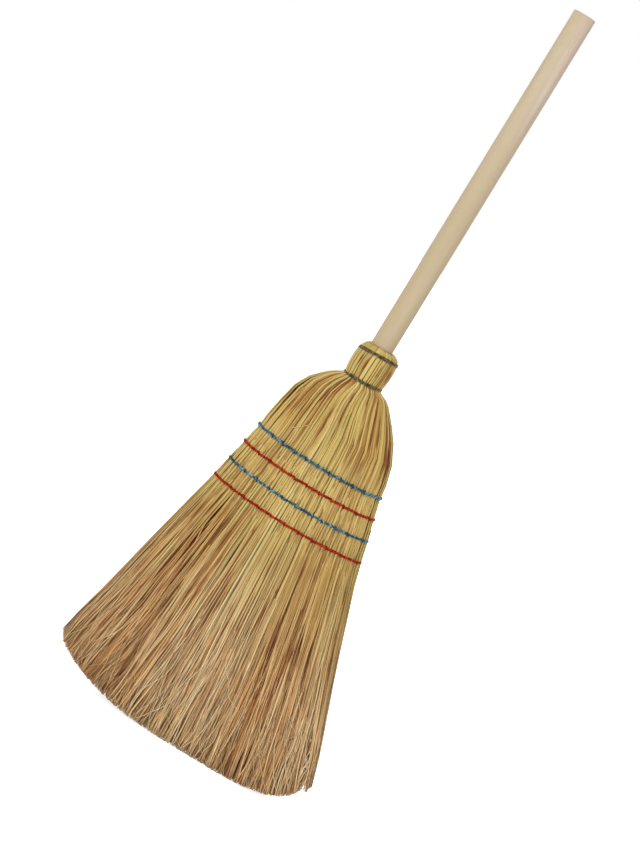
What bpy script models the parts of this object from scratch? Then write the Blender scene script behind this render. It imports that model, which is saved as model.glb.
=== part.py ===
"""Straw broom: a turned wooden handle in a flat head of straw hanks, bound to it
by two wires at the neck and sewn flat by four rows of twine.

Units are metres. +Z runs up the handle, the broad face looks along -Y, the lowest
tips stand on z = 0, and x = 0 is the middle of the sweeping edge. The head hangs
a little to the right of the handle, as on the real broom.
"""
import math
from collections import namedtuple

import bmesh
import bpy
from mathutils import Matrix, Vector

MM = 0.001

# Handle
handle_diameter = 24.0 * MM
handle_reach = 383.0 * MM  # length that shows above the straw
handle_inside = 98.0 * MM  # length held in the straw
handle_point_diameter = 11.0 * MM  # lower end of the taper
handle_edge = 0.6 * MM  # broken edge of the sawn end
handle_sides = 24

# Head, from the tips up
head_height = 450.0 * MM  # lowest tips to the trimmed butts
head_lean = 22.0 * MM  # how far the sweeping edge lies to the right of the handle
tip_width = 295.0 * MM
tip_depth = 48.0 * MM
tip_rise = 38.0 * MM  # how far the corners of the sweeping edge stand above its middle
tip_flat = 0.5 * MM  # depth of the flat on which the lowest tips stand
tip_curve_left = 2.2  # exponent of the trimmed arc: rounder on the left
tip_curve_right = 5.0  # and squarer on the right
skirt_width = 178.0 * MM  # where the bristles come free below the last seam
skirt_depth = 42.0 * MM
skirt_drop = 12.0 * MM  # last seam to where the bristles come free
seam_width = 146.0 * MM  # across the head at the first seam
shoulder_length = 90.0 * MM  # throat wire to the first seam
shoulder_depth = 48.0 * MM
head_squareness = 2.6  # exponent of the head's rounded section

# Neck
collar_straw = 7.1 * MM  # thickness of straw on the handle under the collar wire
barrel_straw = 10.0 * MM  # the same between the two wires
throat_straw = 6.7 * MM  # the same under the throat wire
butt_drop = 4.0 * MM  # the butts are trimmed to a cone this high
barrel_ease = 3.0 * MM  # height in which the straw swells from a wire to the barrel
barrel_crown = 0.6 * MM  # roundness of each stalk's outer face on the barrel
wire_crown = 0.15 * MM  # the same where a wire presses it flat
collar_wire_drop = 8.0 * MM  # butts to the middle of the collar wire
throat_wire_drop = 38.5 * MM  # butts to the middle of the throat wire
wire_diameter = 1.0 * MM
wire_spacing = 0.5 * MM  # clear gap between two turns of wire
collar_wire_turns = 2
throat_wire_turns = 1

# Hanks
hank_count = 10  # on the front, and as many on the back
front_share = 0.93  # of the half width that front and back hanks cover
side_seat_share = 0.12  # of the half depth, the seat of a side hank on its neighbours
hank_gap = 0.4 * MM  # between two hanks
split_gap = 0.5 * MM  # between the front and the back row
hank_crown = 1.0 * MM  # roundness of a hank's outer face
straw_clearance = 0.35 * MM  # straw to wood
core_clearance = 0.6 * MM  # hanks to the core bundle
core_width = 60.0 * MM
core_depth = 27.0 * MM
core_neck = 3.5 * MM  # thickness of the core bundle's upper end on the handle
strand_rows = 3  # bristles in a hank, front to back
strand_columns = 5  # and side to side
side_strand_rows = 2
side_strand_columns = 3
strand_root = 2.0 * MM  # how far a bristle reaches into its hank
strand_root_share = 0.80  # of its cell that a bristle fills where it starts
strand_tip_share = 0.64  # and at its tip

# Seams
seam_rows = 4
seam_pitch = 22.0 * MM
seam_sag = 5.0 * MM  # how far a seam dips in the middle of the head
seam_groove = 3.4 * MM  # how deep the twine draws the straw in
seam_slot = 2.8 * MM  # clear width between two hanks where stitches pass
twine_diameter = 2.2 * MM
twine_spacing = 0.5 * MM  # clear gap where the end of the twine laps its start
twine_lap_points = 2  # points of the outline along which it laps
stitch_diameter = 1.2 * MM
stitch_clearance = 0.6 * MM
twine_clearance = 0.7 * MM  # to the straw, which is uneven beside a seam
wrap_clearance = 0.35 * MM  # wire to straw

# Nails
nail_diameter = 1.4 * MM
nail_head_diameter = 3.6 * MM
nail_head_thickness = 0.8 * MM
nail_length = 19.0 * MM
nail_point = 2.0 * MM
nail_clearance = 0.35 * MM
nail_sides = 12
upper_nail_drop = 18.0 * MM  # butts to the nail
lower_nail_drop = 27.0 * MM

wrap_points = 24  # points in one turn of wire
merge_distance = 0.01 * MM  # points of a turned part that meet on its axis
gap_samples = 3  # extra points that the gap measure sets along each run
gap_reach = 4  # diameters along a tube within which it isn't measured to itself

# Shares along the shoulder, from the throat down to the first seam: how far down,
# then how much of the growth in width and in depth is reached, how flat the
# section is, and how much of the lean and of the sag is reached.
Shoulder = namedtuple("Shoulder", "down width depth flat lean sag")
shoulder_shares = (
    Shoulder(0.075, 0.27, 0.30, 0.10, 0.05, 0.05),
    Shoulder(0.19, 0.46, 0.75, 0.30, 0.06, 0.20),
    Shoulder(0.36, 0.69, 1.00, 0.60, 0.09, 0.50),
    Shoulder(0.72, 0.92, 0.85, 0.92, 0.24, 0.90),
)
seam_lean_share = 0.29
skirt_lean_share = 0.42
core_rise_shares = (0.0, 0.45, 1.0, 0.55)  # of the core's growth, along the shoulder
core_end_share = 0.66  # of its greatest depth that the core keeps at its lower end

# Sizes that follow from the ones above
handle_radius = handle_diameter / 2
handle_axis_x = -head_lean
half_hank_angle = math.pi / (2 * hank_count + 2)
front_angle = half_hank_angle * hank_count
side_angle = math.pi / 2 - front_angle
collar_wire_height = head_height - collar_wire_drop
throat_wire_height = head_height - throat_wire_drop
first_seam_height = throat_wire_height - shoulder_length
last_seam_height = first_seam_height - (seam_rows - 1) * seam_pitch
skirt_height = last_seam_height - skirt_drop
twine_pitch = twine_diameter + twine_spacing

Station = namedtuple(
    "Station",
    "height half_width half_depth core_x core_y flat split lean sag crown gap rise",
)
Hank = namedtuple("Hank", "name face side start stop")

straw_colours = ("C8AE68", "BE9D58", "C2A462", "B48A4C", "CBB370")
core_colour = "A98D54"
wood_colour = "D3C09C"
wire_colour = "5B5443"
nail_colour = "6A6258"
blue_colour = "3A8FC0"
red_colour = "B02010"
stitch_blue_colour = "2A4A78"
stitch_red_colour = "8E1A10"


def clear_scene():
    for thing in list(bpy.data.objects):
        bpy.data.objects.remove(thing, do_unlink=True)


def make_collection(name):
    collection = bpy.data.collections.new(name)
    bpy.context.scene.collection.children.link(collection)
    return collection


def linear(channel):
    if channel <= 0.04045:
        return channel / 12.92
    return ((channel + 0.055) / 1.055) ** 2.4


def make_material(name, colour, roughness, metallic=0.0):
    material = bpy.data.materials.new(name)
    material.use_nodes = True
    shader = material.node_tree.nodes["Principled BSDF"]
    channels = [linear(int(colour[i:i + 2], 16) / 255) for i in (0, 2, 4)]
    shader.inputs["Base Color"].default_value = (*channels, 1.0)
    shader.inputs["Roughness"].default_value = roughness
    shader.inputs["Metallic"].default_value = metallic
    material.diffuse_color = (*channels, 1.0)
    return material


def add_object(name, data, material, collection):
    thing = bpy.data.objects.new(name, data)
    collection.objects.link(thing)
    if material:
        data.materials.append(material)
    return thing


def mesh_from(name, points, faces):
    """A closed mesh from points and faces, with its normals pointing out."""
    mesh = bpy.data.meshes.new(name)
    mesh.from_pydata(points, [], faces)
    work = bmesh.new()
    work.from_mesh(mesh)
    bmesh.ops.recalc_face_normals(work, faces=work.faces)
    work.to_mesh(mesh)
    work.free()
    return mesh


def turned(name, profile, sides, material, collection):
    """A solid turned about Z from (radius, height) points, top to bottom."""
    mesh = bpy.data.meshes.new(name)
    edges = [(i, i + 1) for i in range(len(profile) - 1)]
    mesh.from_pydata([(radius, 0.0, height) for radius, height in profile], edges, [])
    thing = add_object(name, mesh, material, collection)
    screw = thing.modifiers.new("Turn", "SCREW")
    screw.steps = sides
    screw.render_steps = sides
    screw.use_merge_vertices = True
    screw.merge_threshold = merge_distance
    return thing


def as_cutter(thing):
    thing.hide_render = True
    thing.display_type = "WIRE"
    return thing


def boolean(thing, tool, operation):
    modifier = thing.modifiers.new(operation.title(), "BOOLEAN")
    modifier.operation = operation
    modifier.solver = "EXACT"
    modifier.object = tool


def mix(a, b, share):
    return a + (b - a) * share


def bulge(share):
    """Depth share of the head's rounded section at a width share, and the reverse."""
    return (1.0 - abs(share) ** head_squareness) ** (1.0 / head_squareness)


def neck_station(height, straw, crown, rise=0.0):
    """A round section of the neck, with the straw lying on the handle."""
    outer = handle_radius + straw_clearance + straw
    inner = (handle_radius + straw_clearance) / math.cos(half_hank_angle)
    return Station(height, outer, outer, inner, inner, 0.0, 0.0, 0.0, 0.0, crown, hank_gap, rise)


def shoulder_station(index):
    """A section of the shoulder, where the straw spreads round the core bundle."""
    share = shoulder_shares[index]
    throat = handle_radius + straw_clearance + throat_straw
    growth = core_rise_shares[index]
    neck_core = handle_radius + core_neck
    depth_end = core_depth / 2 * (core_end_share if index == len(shoulder_shares) - 1 else 1.0)
    return Station(
        height=throat_wire_height - share.down * shoulder_length,
        half_width=mix(throat, seam_width / 2, share.width),
        half_depth=mix(throat, shoulder_depth / 2, share.depth),
        core_x=mix(neck_core, core_width / 2, growth),
        core_y=mix(neck_core, depth_end, share.down / shoulder_shares[-1].down),
        flat=share.flat,
        split=0.0,
        lean=share.lean,
        sag=share.sag,
        crown=hank_crown,
        gap=hank_gap,
        rise=0.0,
    )


def sewn_station(height, pinched):
    """A section of the sewn part; at a seam the twine draws the straw in."""
    down = (first_seam_height - height) / (first_seam_height - skirt_height)
    groove = seam_groove if pinched else 0.0
    return Station(
        height=height,
        half_width=mix(seam_width, skirt_width, down) / 2 - groove,
        half_depth=skirt_depth / 2 - groove,
        core_x=0.0,
        core_y=0.0,
        flat=1.0,
        split=1.0,
        lean=mix(seam_lean_share, skirt_lean_share, down),
        sag=1.0,
        crown=hank_crown,
        gap=seam_slot if pinched else hank_gap,
        rise=0.0,
    )


def free_station(height):
    """A section of the free bristles, which fan out from the skirt to the tips."""
    down = (skirt_height - height) / (skirt_height - tip_rise)
    return Station(
        height=height,
        half_width=mix(skirt_width, tip_width, down) / 2,
        half_depth=mix(skirt_depth, tip_depth, down) / 2,
        core_x=0.0,
        core_y=0.0,
        flat=1.0,
        split=1.0,
        lean=mix(skirt_lean_share, 1.0, down),
        sag=1.0 if height >= skirt_height else 0.0,
        crown=0.0,
        gap=hank_gap,
        rise=0.0,
    )


def wire_band(turns):
    """Height that the wound wire takes, from the top of its start to its end's foot."""
    return turns * (wire_diameter + wire_spacing) + wire_diameter


def head_stations():
    """Sections of every hank from the butts down to where the bristles come free."""
    collar_half = wire_band(collar_wire_turns) / 2 + wrap_clearance
    throat_half = wire_band(throat_wire_turns) / 2 + wrap_clearance
    stations = [
        neck_station(head_height - butt_drop, collar_straw, wire_crown, rise=butt_drop),
        neck_station(collar_wire_height - collar_half, collar_straw, wire_crown),
        neck_station(collar_wire_height - collar_half - barrel_ease, barrel_straw, barrel_crown),
        neck_station(throat_wire_height + throat_half + barrel_ease, barrel_straw, barrel_crown),
        neck_station(throat_wire_height + throat_half, throat_straw, wire_crown),
        neck_station(throat_wire_height - throat_half, throat_straw, wire_crown),
    ]
    stations += [shoulder_station(i) for i in range(len(shoulder_shares))]
    for row in range(seam_rows):
        height = first_seam_height - row * seam_pitch
        stations.append(sewn_station(height + seam_pitch / 2, False))
        stations.append(sewn_station(height, True))
    stations.append(sewn_station(skirt_height, False))
    return stations


def beside_seam(station, rise):
    """The section a little above a seam, or below it where rise is negative."""
    full = sewn_station(station.height + math.copysign(seam_pitch / 2, rise), False)
    share = abs(rise) / (seam_pitch / 2)
    return Station(*(mix(a, b, share) for a, b in zip(station, full)))


def place(station, x, y, rise=0.0):
    """A point of a section, set in the head with the section's lean and sag."""
    across = min(1.0, abs(x) / station.half_width)
    height = station.height - station.sag * seam_sag * (1.0 - across ** 2)
    return Vector((x + handle_axis_x + station.lean * head_lean, y, height + rise))


def round_direction(hank, share):
    if hank.side:
        angle = share * side_angle
        return hank.side * math.cos(angle), math.sin(angle)
    angle = share * front_angle
    return math.sin(angle), hank.face * math.cos(angle)


def flat_direction(hank, share):
    if hank.side:
        depth = share * bulge(front_share)
        return hank.side * bulge(depth), depth
    across = share * front_share
    return across, hank.face * bulge(across)


def outer_point(station, hank, share):
    """A point on a hank's outer face, before its crown."""
    round_x, round_y = round_direction(hank, share)
    flat_x, flat_y = flat_direction(hank, share)
    return Vector((
        station.half_width * mix(round_x, flat_x, station.flat),
        station.half_depth * mix(round_y, flat_y, station.flat),
    ))


def inner_point(station, hank, share):
    """A point on a hank's inner face: on the handle, the core or the middle plane."""
    round_x, round_y = round_direction(hank, share)
    if hank.side:
        split_x = hank.side * front_share * station.half_width
        split_y = share * side_seat_share * station.half_depth
    else:
        split_x = share * front_share * station.half_width
        split_y = hank.face * split_gap / 2
    return Vector((
        mix(station.core_x * round_x, split_x, station.split),
        mix(station.core_y * round_y, split_y, station.split),
    ))


crown_shares = (0.0, 0.75, 1.0, 0.75, 0.0)  # across a hank's outer face


def hank_section(station, hank):
    """The outline of a hank: its inner edge, then its crowned outer edge, then back."""
    inner = [inner_point(station, hank, share) for share in (hank.start, hank.stop)]
    steps = len(crown_shares) - 1
    shares = [mix(hank.start, hank.stop, i / steps) for i in range(steps + 1)]
    outer = [outer_point(station, hank, share) for share in shares]
    along = (outer[-1] - outer[0]).normalized()
    out = Vector((along.y, -along.x))
    if out.dot(outer[0] + outer[-1] - inner[0] - inner[1]) < 0:
        out = -out
    outer = [point + out * station.crown * crown for point, crown in zip(outer, crown_shares)]
    for edge in (inner, outer):
        shift = (edge[-1] - edge[0]).normalized() * station.gap / 2
        edge[0] = edge[0] + shift
        edge[-1] = edge[-1] - shift
    if hank.side and station.split:
        inner = [point + Vector((hank.side * station.gap / 2, 0.0)) for point in inner]
    points = [place(station, *point, station.rise) for point in inner]
    points += [place(station, *point) for point in reversed(outer)]
    return points


def skin(sections):
    """Triangles between closed outlines of like count, with an end face at each end.

    The two walls that face a neighbour are split along the same diagonal as the
    neighbour's, from the inner edge down to the outer one, so that they never touch.
    """
    count = len(sections[0])
    points = [point for section in sections for point in section]
    faces = [tuple(range(count)), tuple(range(len(points) - count, len(points)))]
    for ring in range(len(sections) - 1):
        for i in range(count):
            here = ring * count + i
            beside = ring * count + (i + 1) % count
            below = here + count
            below_beside = beside + count
            if i == count - 1:
                faces += [(here, beside, below), (beside, below_beside, below)]
            else:
                faces += [(here, beside, below_beside), (here, below_beside, below)]
    return points, faces


def make_hanks():
    hanks = []
    for face, word in ((-1, "front"), (1, "back")):
        for i in range(hank_count):
            start = -1 + 2 * i / hank_count
            stop = start + 2 / hank_count
            hanks.append(Hank(f"{word}_hank_{i + 1}", face, 0, start, stop))
    hanks.append(Hank("side_hank_left", 0, -1, -1.0, 1.0))
    hanks.append(Hank("side_hank_right", 0, 1, -1.0, 1.0))
    return hanks


def hanks_in_turn(hanks):
    """The hanks as they follow each other round the head, from the left of the front."""
    order = [hank for hank in hanks if hank.face < 0]
    order += [hank for hank in hanks if hank.side > 0]
    order += [hank for hank in reversed(hanks) if hank.face > 0]
    order += [hank for hank in hanks if hank.side < 0]
    return order


def tip_height(across):
    """Height of the trimmed edge at a width share, with the lowest tips cut flat."""
    curve = tip_curve_left if across < 0 else tip_curve_right
    return max(0.0, tip_rise * abs(across) ** curve - tip_flat)


def strand_corners(station, hank, share, depth, half_share, half_depth):
    corners = []
    for side, front in ((-1, -1), (1, -1), (1, 1), (-1, 1)):
        at = share + side * half_share
        inner = inner_point(station, hank, at)
        outer = outer_point(station, hank, at)
        corners.append(place(station, *inner.lerp(outer, depth + front * half_depth)))
    return corners


def strands_mesh(hank):
    """The bristles of a hank: tapered, four-sided, side by side, none crossing."""
    columns = side_strand_columns if hank.side else strand_columns
    rows = side_strand_rows if hank.side else strand_rows
    points = []
    faces = []
    for column in range(columns):
        share = mix(hank.start, hank.stop, (column + 0.5) / columns)
        half_share = (hank.stop - hank.start) / columns / 2
        for row in range(rows):
            depth = (row + 0.5) / rows
            half_depth = 0.5 / rows
            middle = inner_point(free_station(tip_rise), hank, share).lerp(
                outer_point(free_station(tip_rise), hank, share), depth)
            across = middle.x / free_station(tip_rise).half_width
            root = free_station(skirt_height + strand_root)
            tip = free_station(tip_height(across))
            ends = (
                strand_corners(root, hank, share, depth,
                               half_share * strand_root_share, half_depth * strand_root_share),
                strand_corners(tip, hank, share, depth,
                               half_share * strand_tip_share, half_depth * strand_tip_share),
            )
            first = len(points)
            points += ends[0] + ends[1]
            faces.append((first, first + 1, first + 2, first + 3))
            faces.append((first + 4, first + 5, first + 6, first + 7))
            for i in range(4):
                j = (i + 1) % 4
                faces.append((first + i, first + j, first + 4 + j, first + 4 + i))
    return mesh_from(hank.name + "_strands", points, faces)


def add_hanks(hanks, materials, parts, cutters):
    stations = head_stations()
    things = {}
    for index, hank in enumerate(hanks):
        points, faces = skin([hank_section(station, hank) for station in stations])
        mesh = mesh_from(hank.name, points, faces)
        thing = add_object(hank.name, mesh, materials[index % len(materials)], parts)
        strands = add_object(hank.name + "_strands", strands_mesh(hank), None, cutters)
        boolean(thing, as_cutter(strands), "UNION")
        things[hank.name] = thing
    return things


def handle_profile(grow=0.0):
    """The taper and its top in (radius, height), grown all round by a clearance."""
    return [
        (0.0, head_height + handle_reach),
        (handle_radius - handle_edge, head_height + handle_reach),
        (handle_radius, head_height + handle_reach - handle_edge),
        (handle_radius + grow, throat_wire_height),
        (handle_point_diameter / 2 + grow, head_height - handle_inside - grow),
        (0.0, head_height - handle_inside - grow),
    ]


def add_handle(material, parts):
    handle = turned("handle", handle_profile(), handle_sides, material, parts)
    handle.location.x = handle_axis_x
    return handle


def add_core(hanks, material, parts, cutters):
    """The short inner bundle that fills the shoulder round the handle's taper."""
    sections = []
    for index in range(len(shoulder_shares)):
        station = shoulder_station(index)
        inset = station._replace(
            core_x=station.core_x - core_clearance, core_y=station.core_y - core_clearance)
        section = []
        for hank in hanks_in_turn(hanks):
            backwards = hank.face > 0 or hank.side < 0
            share = hank.stop if backwards else hank.start
            section.append(place(inset, *inner_point(inset, hank, share)))
        sections.append(section)
    points, faces = skin(sections)
    core = add_object("core_bundle", mesh_from("core_bundle", points, faces), material, parts)
    profile = handle_profile(straw_clearance)[3:]
    socket = turned("core_socket", [(0.0, throat_wire_height)] + profile, handle_sides, None, cutters)
    socket.location.x = handle_axis_x
    boolean(core, as_cutter(socket), "DIFFERENCE")
    return core


def least_gap(points, diameter):
    """The least clear gap of a tube to itself, measured between points set along it."""
    samples = []
    travelled = 0.0
    for start, end in zip(points, points[1:]):
        for i in range(gap_samples + 1):
            samples.append((travelled + (end - start).length * i / (gap_samples + 1),
                            start.lerp(end, i / (gap_samples + 1))))
        travelled += (end - start).length
    least = math.inf
    for i, (at, point) in enumerate(samples):
        for other_at, other in samples[i + 1:]:
            if other_at - at > gap_reach * diameter:
                least = min(least, (point - other).length)
    return least - diameter


def add_tube(name, points, diameter, resolution, material, parts):
    curve = bpy.data.curves.new(name, "CURVE")
    curve.dimensions = "3D"
    curve.bevel_depth = diameter / 2
    curve.bevel_resolution = resolution
    curve.use_fill_caps = True
    spline = curve.splines.new("POLY")
    spline.points.add(len(points) - 1)
    for target, point in zip(spline.points, points):
        target.co = (*point, 1.0)
    print(f"{name}: least gap to itself {least_gap(points, diameter) / MM:.2f} mm")
    return add_object(name, curve, material, parts)


def add_wire(name, height, straw, turns, material, parts):
    """Turns of wire round the neck, climbing down at a steady pitch."""
    radius = (handle_radius + straw_clearance + straw + wire_crown + wrap_clearance
              + wire_diameter / 2) / math.cos(math.pi / wrap_points)
    pitch = wire_diameter + wire_spacing
    count = turns * wrap_points
    points = []
    for i in range(count + 1):
        angle = 2 * math.pi * i / wrap_points + math.pi / 2
        drop = pitch * (i / wrap_points - turns / 2)
        points.append(Vector((
            handle_axis_x + radius * math.cos(angle), radius * math.sin(angle), height - drop)))
    points.insert(0, points[0] + (points[0] - points[1]).normalized() * wire_diameter)
    points.append(points[-1] + (points[-1] - points[-2]).normalized() * wire_diameter)
    return add_tube(name, points, wire_diameter, 1, material, parts)


def wrap_outline(station, hanks, away):
    """A closed outline that far outside the straw, from the left edge over the front."""
    crowned = []
    steps = len(crown_shares) - 1
    for hank in hanks_in_turn(hanks):
        if hank.side:
            shares = [mix(-1, 1, i / steps) for i in range(steps + 1)]
            if hank.side < 0:
                shares.reverse()
            for share, crown in zip(shares, crown_shares):
                point = outer_point(station, hank, share)
                crowned.append(point + Vector((hank.side * station.crown * crown, 0.0)))
        else:
            middle = outer_point(station, hank, (hank.start + hank.stop) / 2)
            crowned.append(middle + Vector((0.0, hank.face * station.crown)))
    count = len(crowned)
    outline = []
    for i, point in enumerate(crowned):
        before = (point - crowned[i - 1]).normalized()
        after = (crowned[(i + 1) % count] - point).normalized()
        along = (before + after).normalized()
        out = Vector((along.y, -along.x))
        outline.append(point + out * away / along.dot(after))
    return outline


def twine_away():
    """Straw to the middle of the twine, over the groove's rise beside its middle."""
    slope = seam_groove / (seam_pitch / 2)
    return twine_clearance + twine_diameter / 2 + slope * (twine_diameter + twine_pitch) / 2


def add_seam(row, hanks, materials, parts):
    """One row of sewing: the twine wound round the head, and the thread that locks it.

    The twine starts and ends on the left edge, where its end laps its start. The
    thread goes through every gap between two hanks and back again, over the twine.
    """
    station = sewn_station(first_seam_height - row * seam_pitch, True)
    outline = wrap_outline(station, hanks, twine_away())
    count = len(outline)
    start = count - len(crown_shares) // 2 - 1

    def drift(position):
        turn = (position - start) % count / count
        return twine_pitch * (0.5 - turn)

    points = []
    for i in range(count + twine_lap_points + 1):
        point = outline[(start + i) % count]
        drop = twine_pitch * (i / count - 0.5)
        points.append(place(station, *point) - Vector((0.0, 0.0, drop)))
    add_tube(f"seam_twine_{row + 1}", points, twine_diameter, 1, materials[0], parts)

    over = twine_away() + twine_diameter / 2 + stitch_clearance + stitch_diameter / 2
    lift = twine_diameter / 2 + stitch_clearance + stitch_diameter / 2
    outside = wrap_outline(station, hanks, over)
    last_back = 2 * hank_count + len(crown_shares) - 0.5
    thread = []
    for i in range(1, hank_count):
        across = (-1 + 2 * i / hank_count) * front_share
        depth = max(abs(outside[i - 1].y), abs(outside[i].y))
        front = drift(i - 0.5)
        back = drift(last_back - i)
        for side, rise in ((1, back + lift), (-1, front + lift), (-1, front - lift), (1, back - lift)):
            level = beside_seam(station, rise)
            thread.append(place(level, across * level.half_width, side * depth))
    add_tube(f"seam_stitch_{row + 1}", thread, stitch_diameter, 0, materials[1], parts)


def nail_matrix(hank, drop):
    """Where a nail sits: its head on the barrel, its shank pointing at the handle."""
    share = (hank.start + hank.stop) / 2
    x, y = round_direction(hank, share)
    seat = handle_radius + straw_clearance + barrel_straw + barrel_crown + nail_clearance
    turn = Vector((0.0, 0.0, 1.0)).rotation_difference(Vector((x, y, 0.0)))
    spot = Vector((handle_axis_x + seat * x, seat * y, head_height - drop))
    return Matrix.Translation(spot) @ turn.to_matrix().to_4x4()


def add_nail(name, hank, drop, straw, handle, material, parts, cutters):
    """A wire nail driven through a hank into the handle, with its hole in both."""
    matrix = nail_matrix(hank, drop)
    head = nail_head_diameter / 2
    shank = nail_diameter / 2
    profile = [
        (0.0, nail_head_thickness), (head, nail_head_thickness), (head, 0.0), (shank, 0.0),
        (shank, nail_point - nail_length), (0.0, -nail_length),
    ]
    nail = turned(name, profile, nail_sides, material, parts)
    nail.matrix_world = matrix
    hole = shank + nail_clearance
    profile = [
        (0.0, nail_head_thickness), (hole, nail_head_thickness),
        (hole, nail_point - nail_length), (0.0, -nail_length - nail_clearance),
    ]
    drill = as_cutter(turned(name + "_hole", profile, nail_sides, None, cutters))
    drill.matrix_world = matrix
    boolean(straw, drill, "DIFFERENCE")
    boolean(handle, drill, "DIFFERENCE")


def build():
    clear_scene()
    parts = make_collection("straw_broom")
    cutters = make_collection("cutters")
    straw = [make_material(f"straw_{i + 1}", c, 0.8) for i, c in enumerate(straw_colours)]
    wire = make_material("binding_wire", wire_colour, 0.45, 0.9)
    nail = make_material("nail_steel", nail_colour, 0.45, 0.9)
    blue = [make_material("blue_twine", blue_colour, 0.75),
            make_material("blue_thread", stitch_blue_colour, 0.75)]
    red = [make_material("red_twine", red_colour, 0.75),
           make_material("red_thread", stitch_red_colour, 0.75)]

    hanks = make_hanks()
    handle = add_handle(make_material("beech", wood_colour, 0.55), parts)
    add_core(hanks, make_material("inner_straw", core_colour, 0.85), parts, cutters)
    things = add_hanks(hanks, straw, parts, cutters)
    add_wire("collar_wire", collar_wire_height, collar_straw, collar_wire_turns, wire, parts)
    add_wire("throat_wire", throat_wire_height, throat_straw, throat_wire_turns, wire, parts)
    for row in range(seam_rows):
        add_seam(row, hanks, red if row % 2 else blue, parts)

    middle = hank_count // 2
    nailed = [hank for hank in hanks if hank.face > 0][middle - 1:middle + 1]
    drops = (upper_nail_drop, lower_nail_drop)
    for word, hank, drop in zip(("upper", "lower"), nailed, drops):
        add_nail(f"{word}_nail", hank, drop, things[hank.name], handle, nail, parts, cutters)


build()
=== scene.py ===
# %% [markdown]
# # A straw broom, dressed for its picture
#
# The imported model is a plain, exact broom: a stick, hanks of straw with square
# bristles, two windings of wire and four rows of twine. This lesson keeps every size
# and place of it and gives each piece the look of the real thing: flat stalks side by
# side on the neck, thousands of fine fibres below the last seam, twisted twine, dull
# wire and pale turned wood.

# %% Load the model
import math

import bpy
import numpy as np
from mathutils import Matrix, Vector


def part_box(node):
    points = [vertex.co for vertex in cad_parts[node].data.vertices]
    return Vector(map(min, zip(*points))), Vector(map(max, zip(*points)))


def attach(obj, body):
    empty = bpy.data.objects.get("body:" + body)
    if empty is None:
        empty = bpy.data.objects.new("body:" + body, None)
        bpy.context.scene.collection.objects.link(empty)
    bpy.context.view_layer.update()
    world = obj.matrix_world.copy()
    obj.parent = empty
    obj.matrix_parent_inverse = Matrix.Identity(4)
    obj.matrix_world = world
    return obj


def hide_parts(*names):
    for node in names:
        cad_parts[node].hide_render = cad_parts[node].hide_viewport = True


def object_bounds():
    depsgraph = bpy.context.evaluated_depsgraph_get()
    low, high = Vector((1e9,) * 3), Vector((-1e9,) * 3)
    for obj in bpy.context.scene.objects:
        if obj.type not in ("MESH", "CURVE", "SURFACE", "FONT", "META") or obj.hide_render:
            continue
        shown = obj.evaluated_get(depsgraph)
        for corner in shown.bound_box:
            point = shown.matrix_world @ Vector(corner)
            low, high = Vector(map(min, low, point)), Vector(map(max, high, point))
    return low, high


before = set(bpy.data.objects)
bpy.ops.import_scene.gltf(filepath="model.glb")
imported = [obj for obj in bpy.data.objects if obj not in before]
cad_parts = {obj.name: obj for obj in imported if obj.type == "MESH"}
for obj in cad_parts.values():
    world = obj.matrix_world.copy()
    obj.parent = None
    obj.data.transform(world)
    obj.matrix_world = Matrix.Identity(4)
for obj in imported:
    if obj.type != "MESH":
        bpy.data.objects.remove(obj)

MM = 0.001
cad_low, cad_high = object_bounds()
scene = bpy.context.scene
print("model size in mm:", [round(v / MM, 1) for v in cad_high - cad_low])

# %% [markdown]
# Sizes come from the model wherever it has them: the stick's axis and radius, the
# height of the trimmed butts, where the wires and the seams lie. A box round a node is
# enough for that. The sag of a seam and the arc of the trimmed edge can't be read from
# a box, so they are written here once more.

# %% Sizes read from the model
hank_count = 10
seam_count = 4
handle_low, handle_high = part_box("handle")
axis_x = (handle_low.x + handle_high.x) / 2
handle_radius = (handle_high.x - handle_low.x) / 2
butts_z = max(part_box(f"front_hank_{i}")[1].z for i in range(1, hank_count + 1))
collar_z = sum(corner.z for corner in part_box("collar_wire")) / 2
throat_z = sum(corner.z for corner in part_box("throat_wire")) / 2
twine_diameter = 2.2 * MM
twine_lap = 2.7 * MM
seam_z = [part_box(f"seam_twine_{row}")[1].z - (twine_diameter + twine_lap) / 2
          for row in range(1, seam_count + 1)]
seam_sag = dict(zip(seam_z, (3.5 * MM, 3.7 * MM, 4.8 * MM, 4.4 * MM)))
print("seams at", [round(z / MM, 1) for z in seam_z], "mm, butts at", round(butts_z / MM, 1))

# %% [markdown]
# The straw has an outline of its own: a trimmed cone on top, a neck that swells a
# little between the wires, a shoulder that is rounder on the left, and a long fan. It is
# given as rows of sizes, from the butts down, and smoothed. Every straw is later laid on
# the surface that these rows make, so they all fit one head. Only stalks near the edges
# follow the shoulder's round. Inner ones run straight over it, as stiff straw does.

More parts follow.
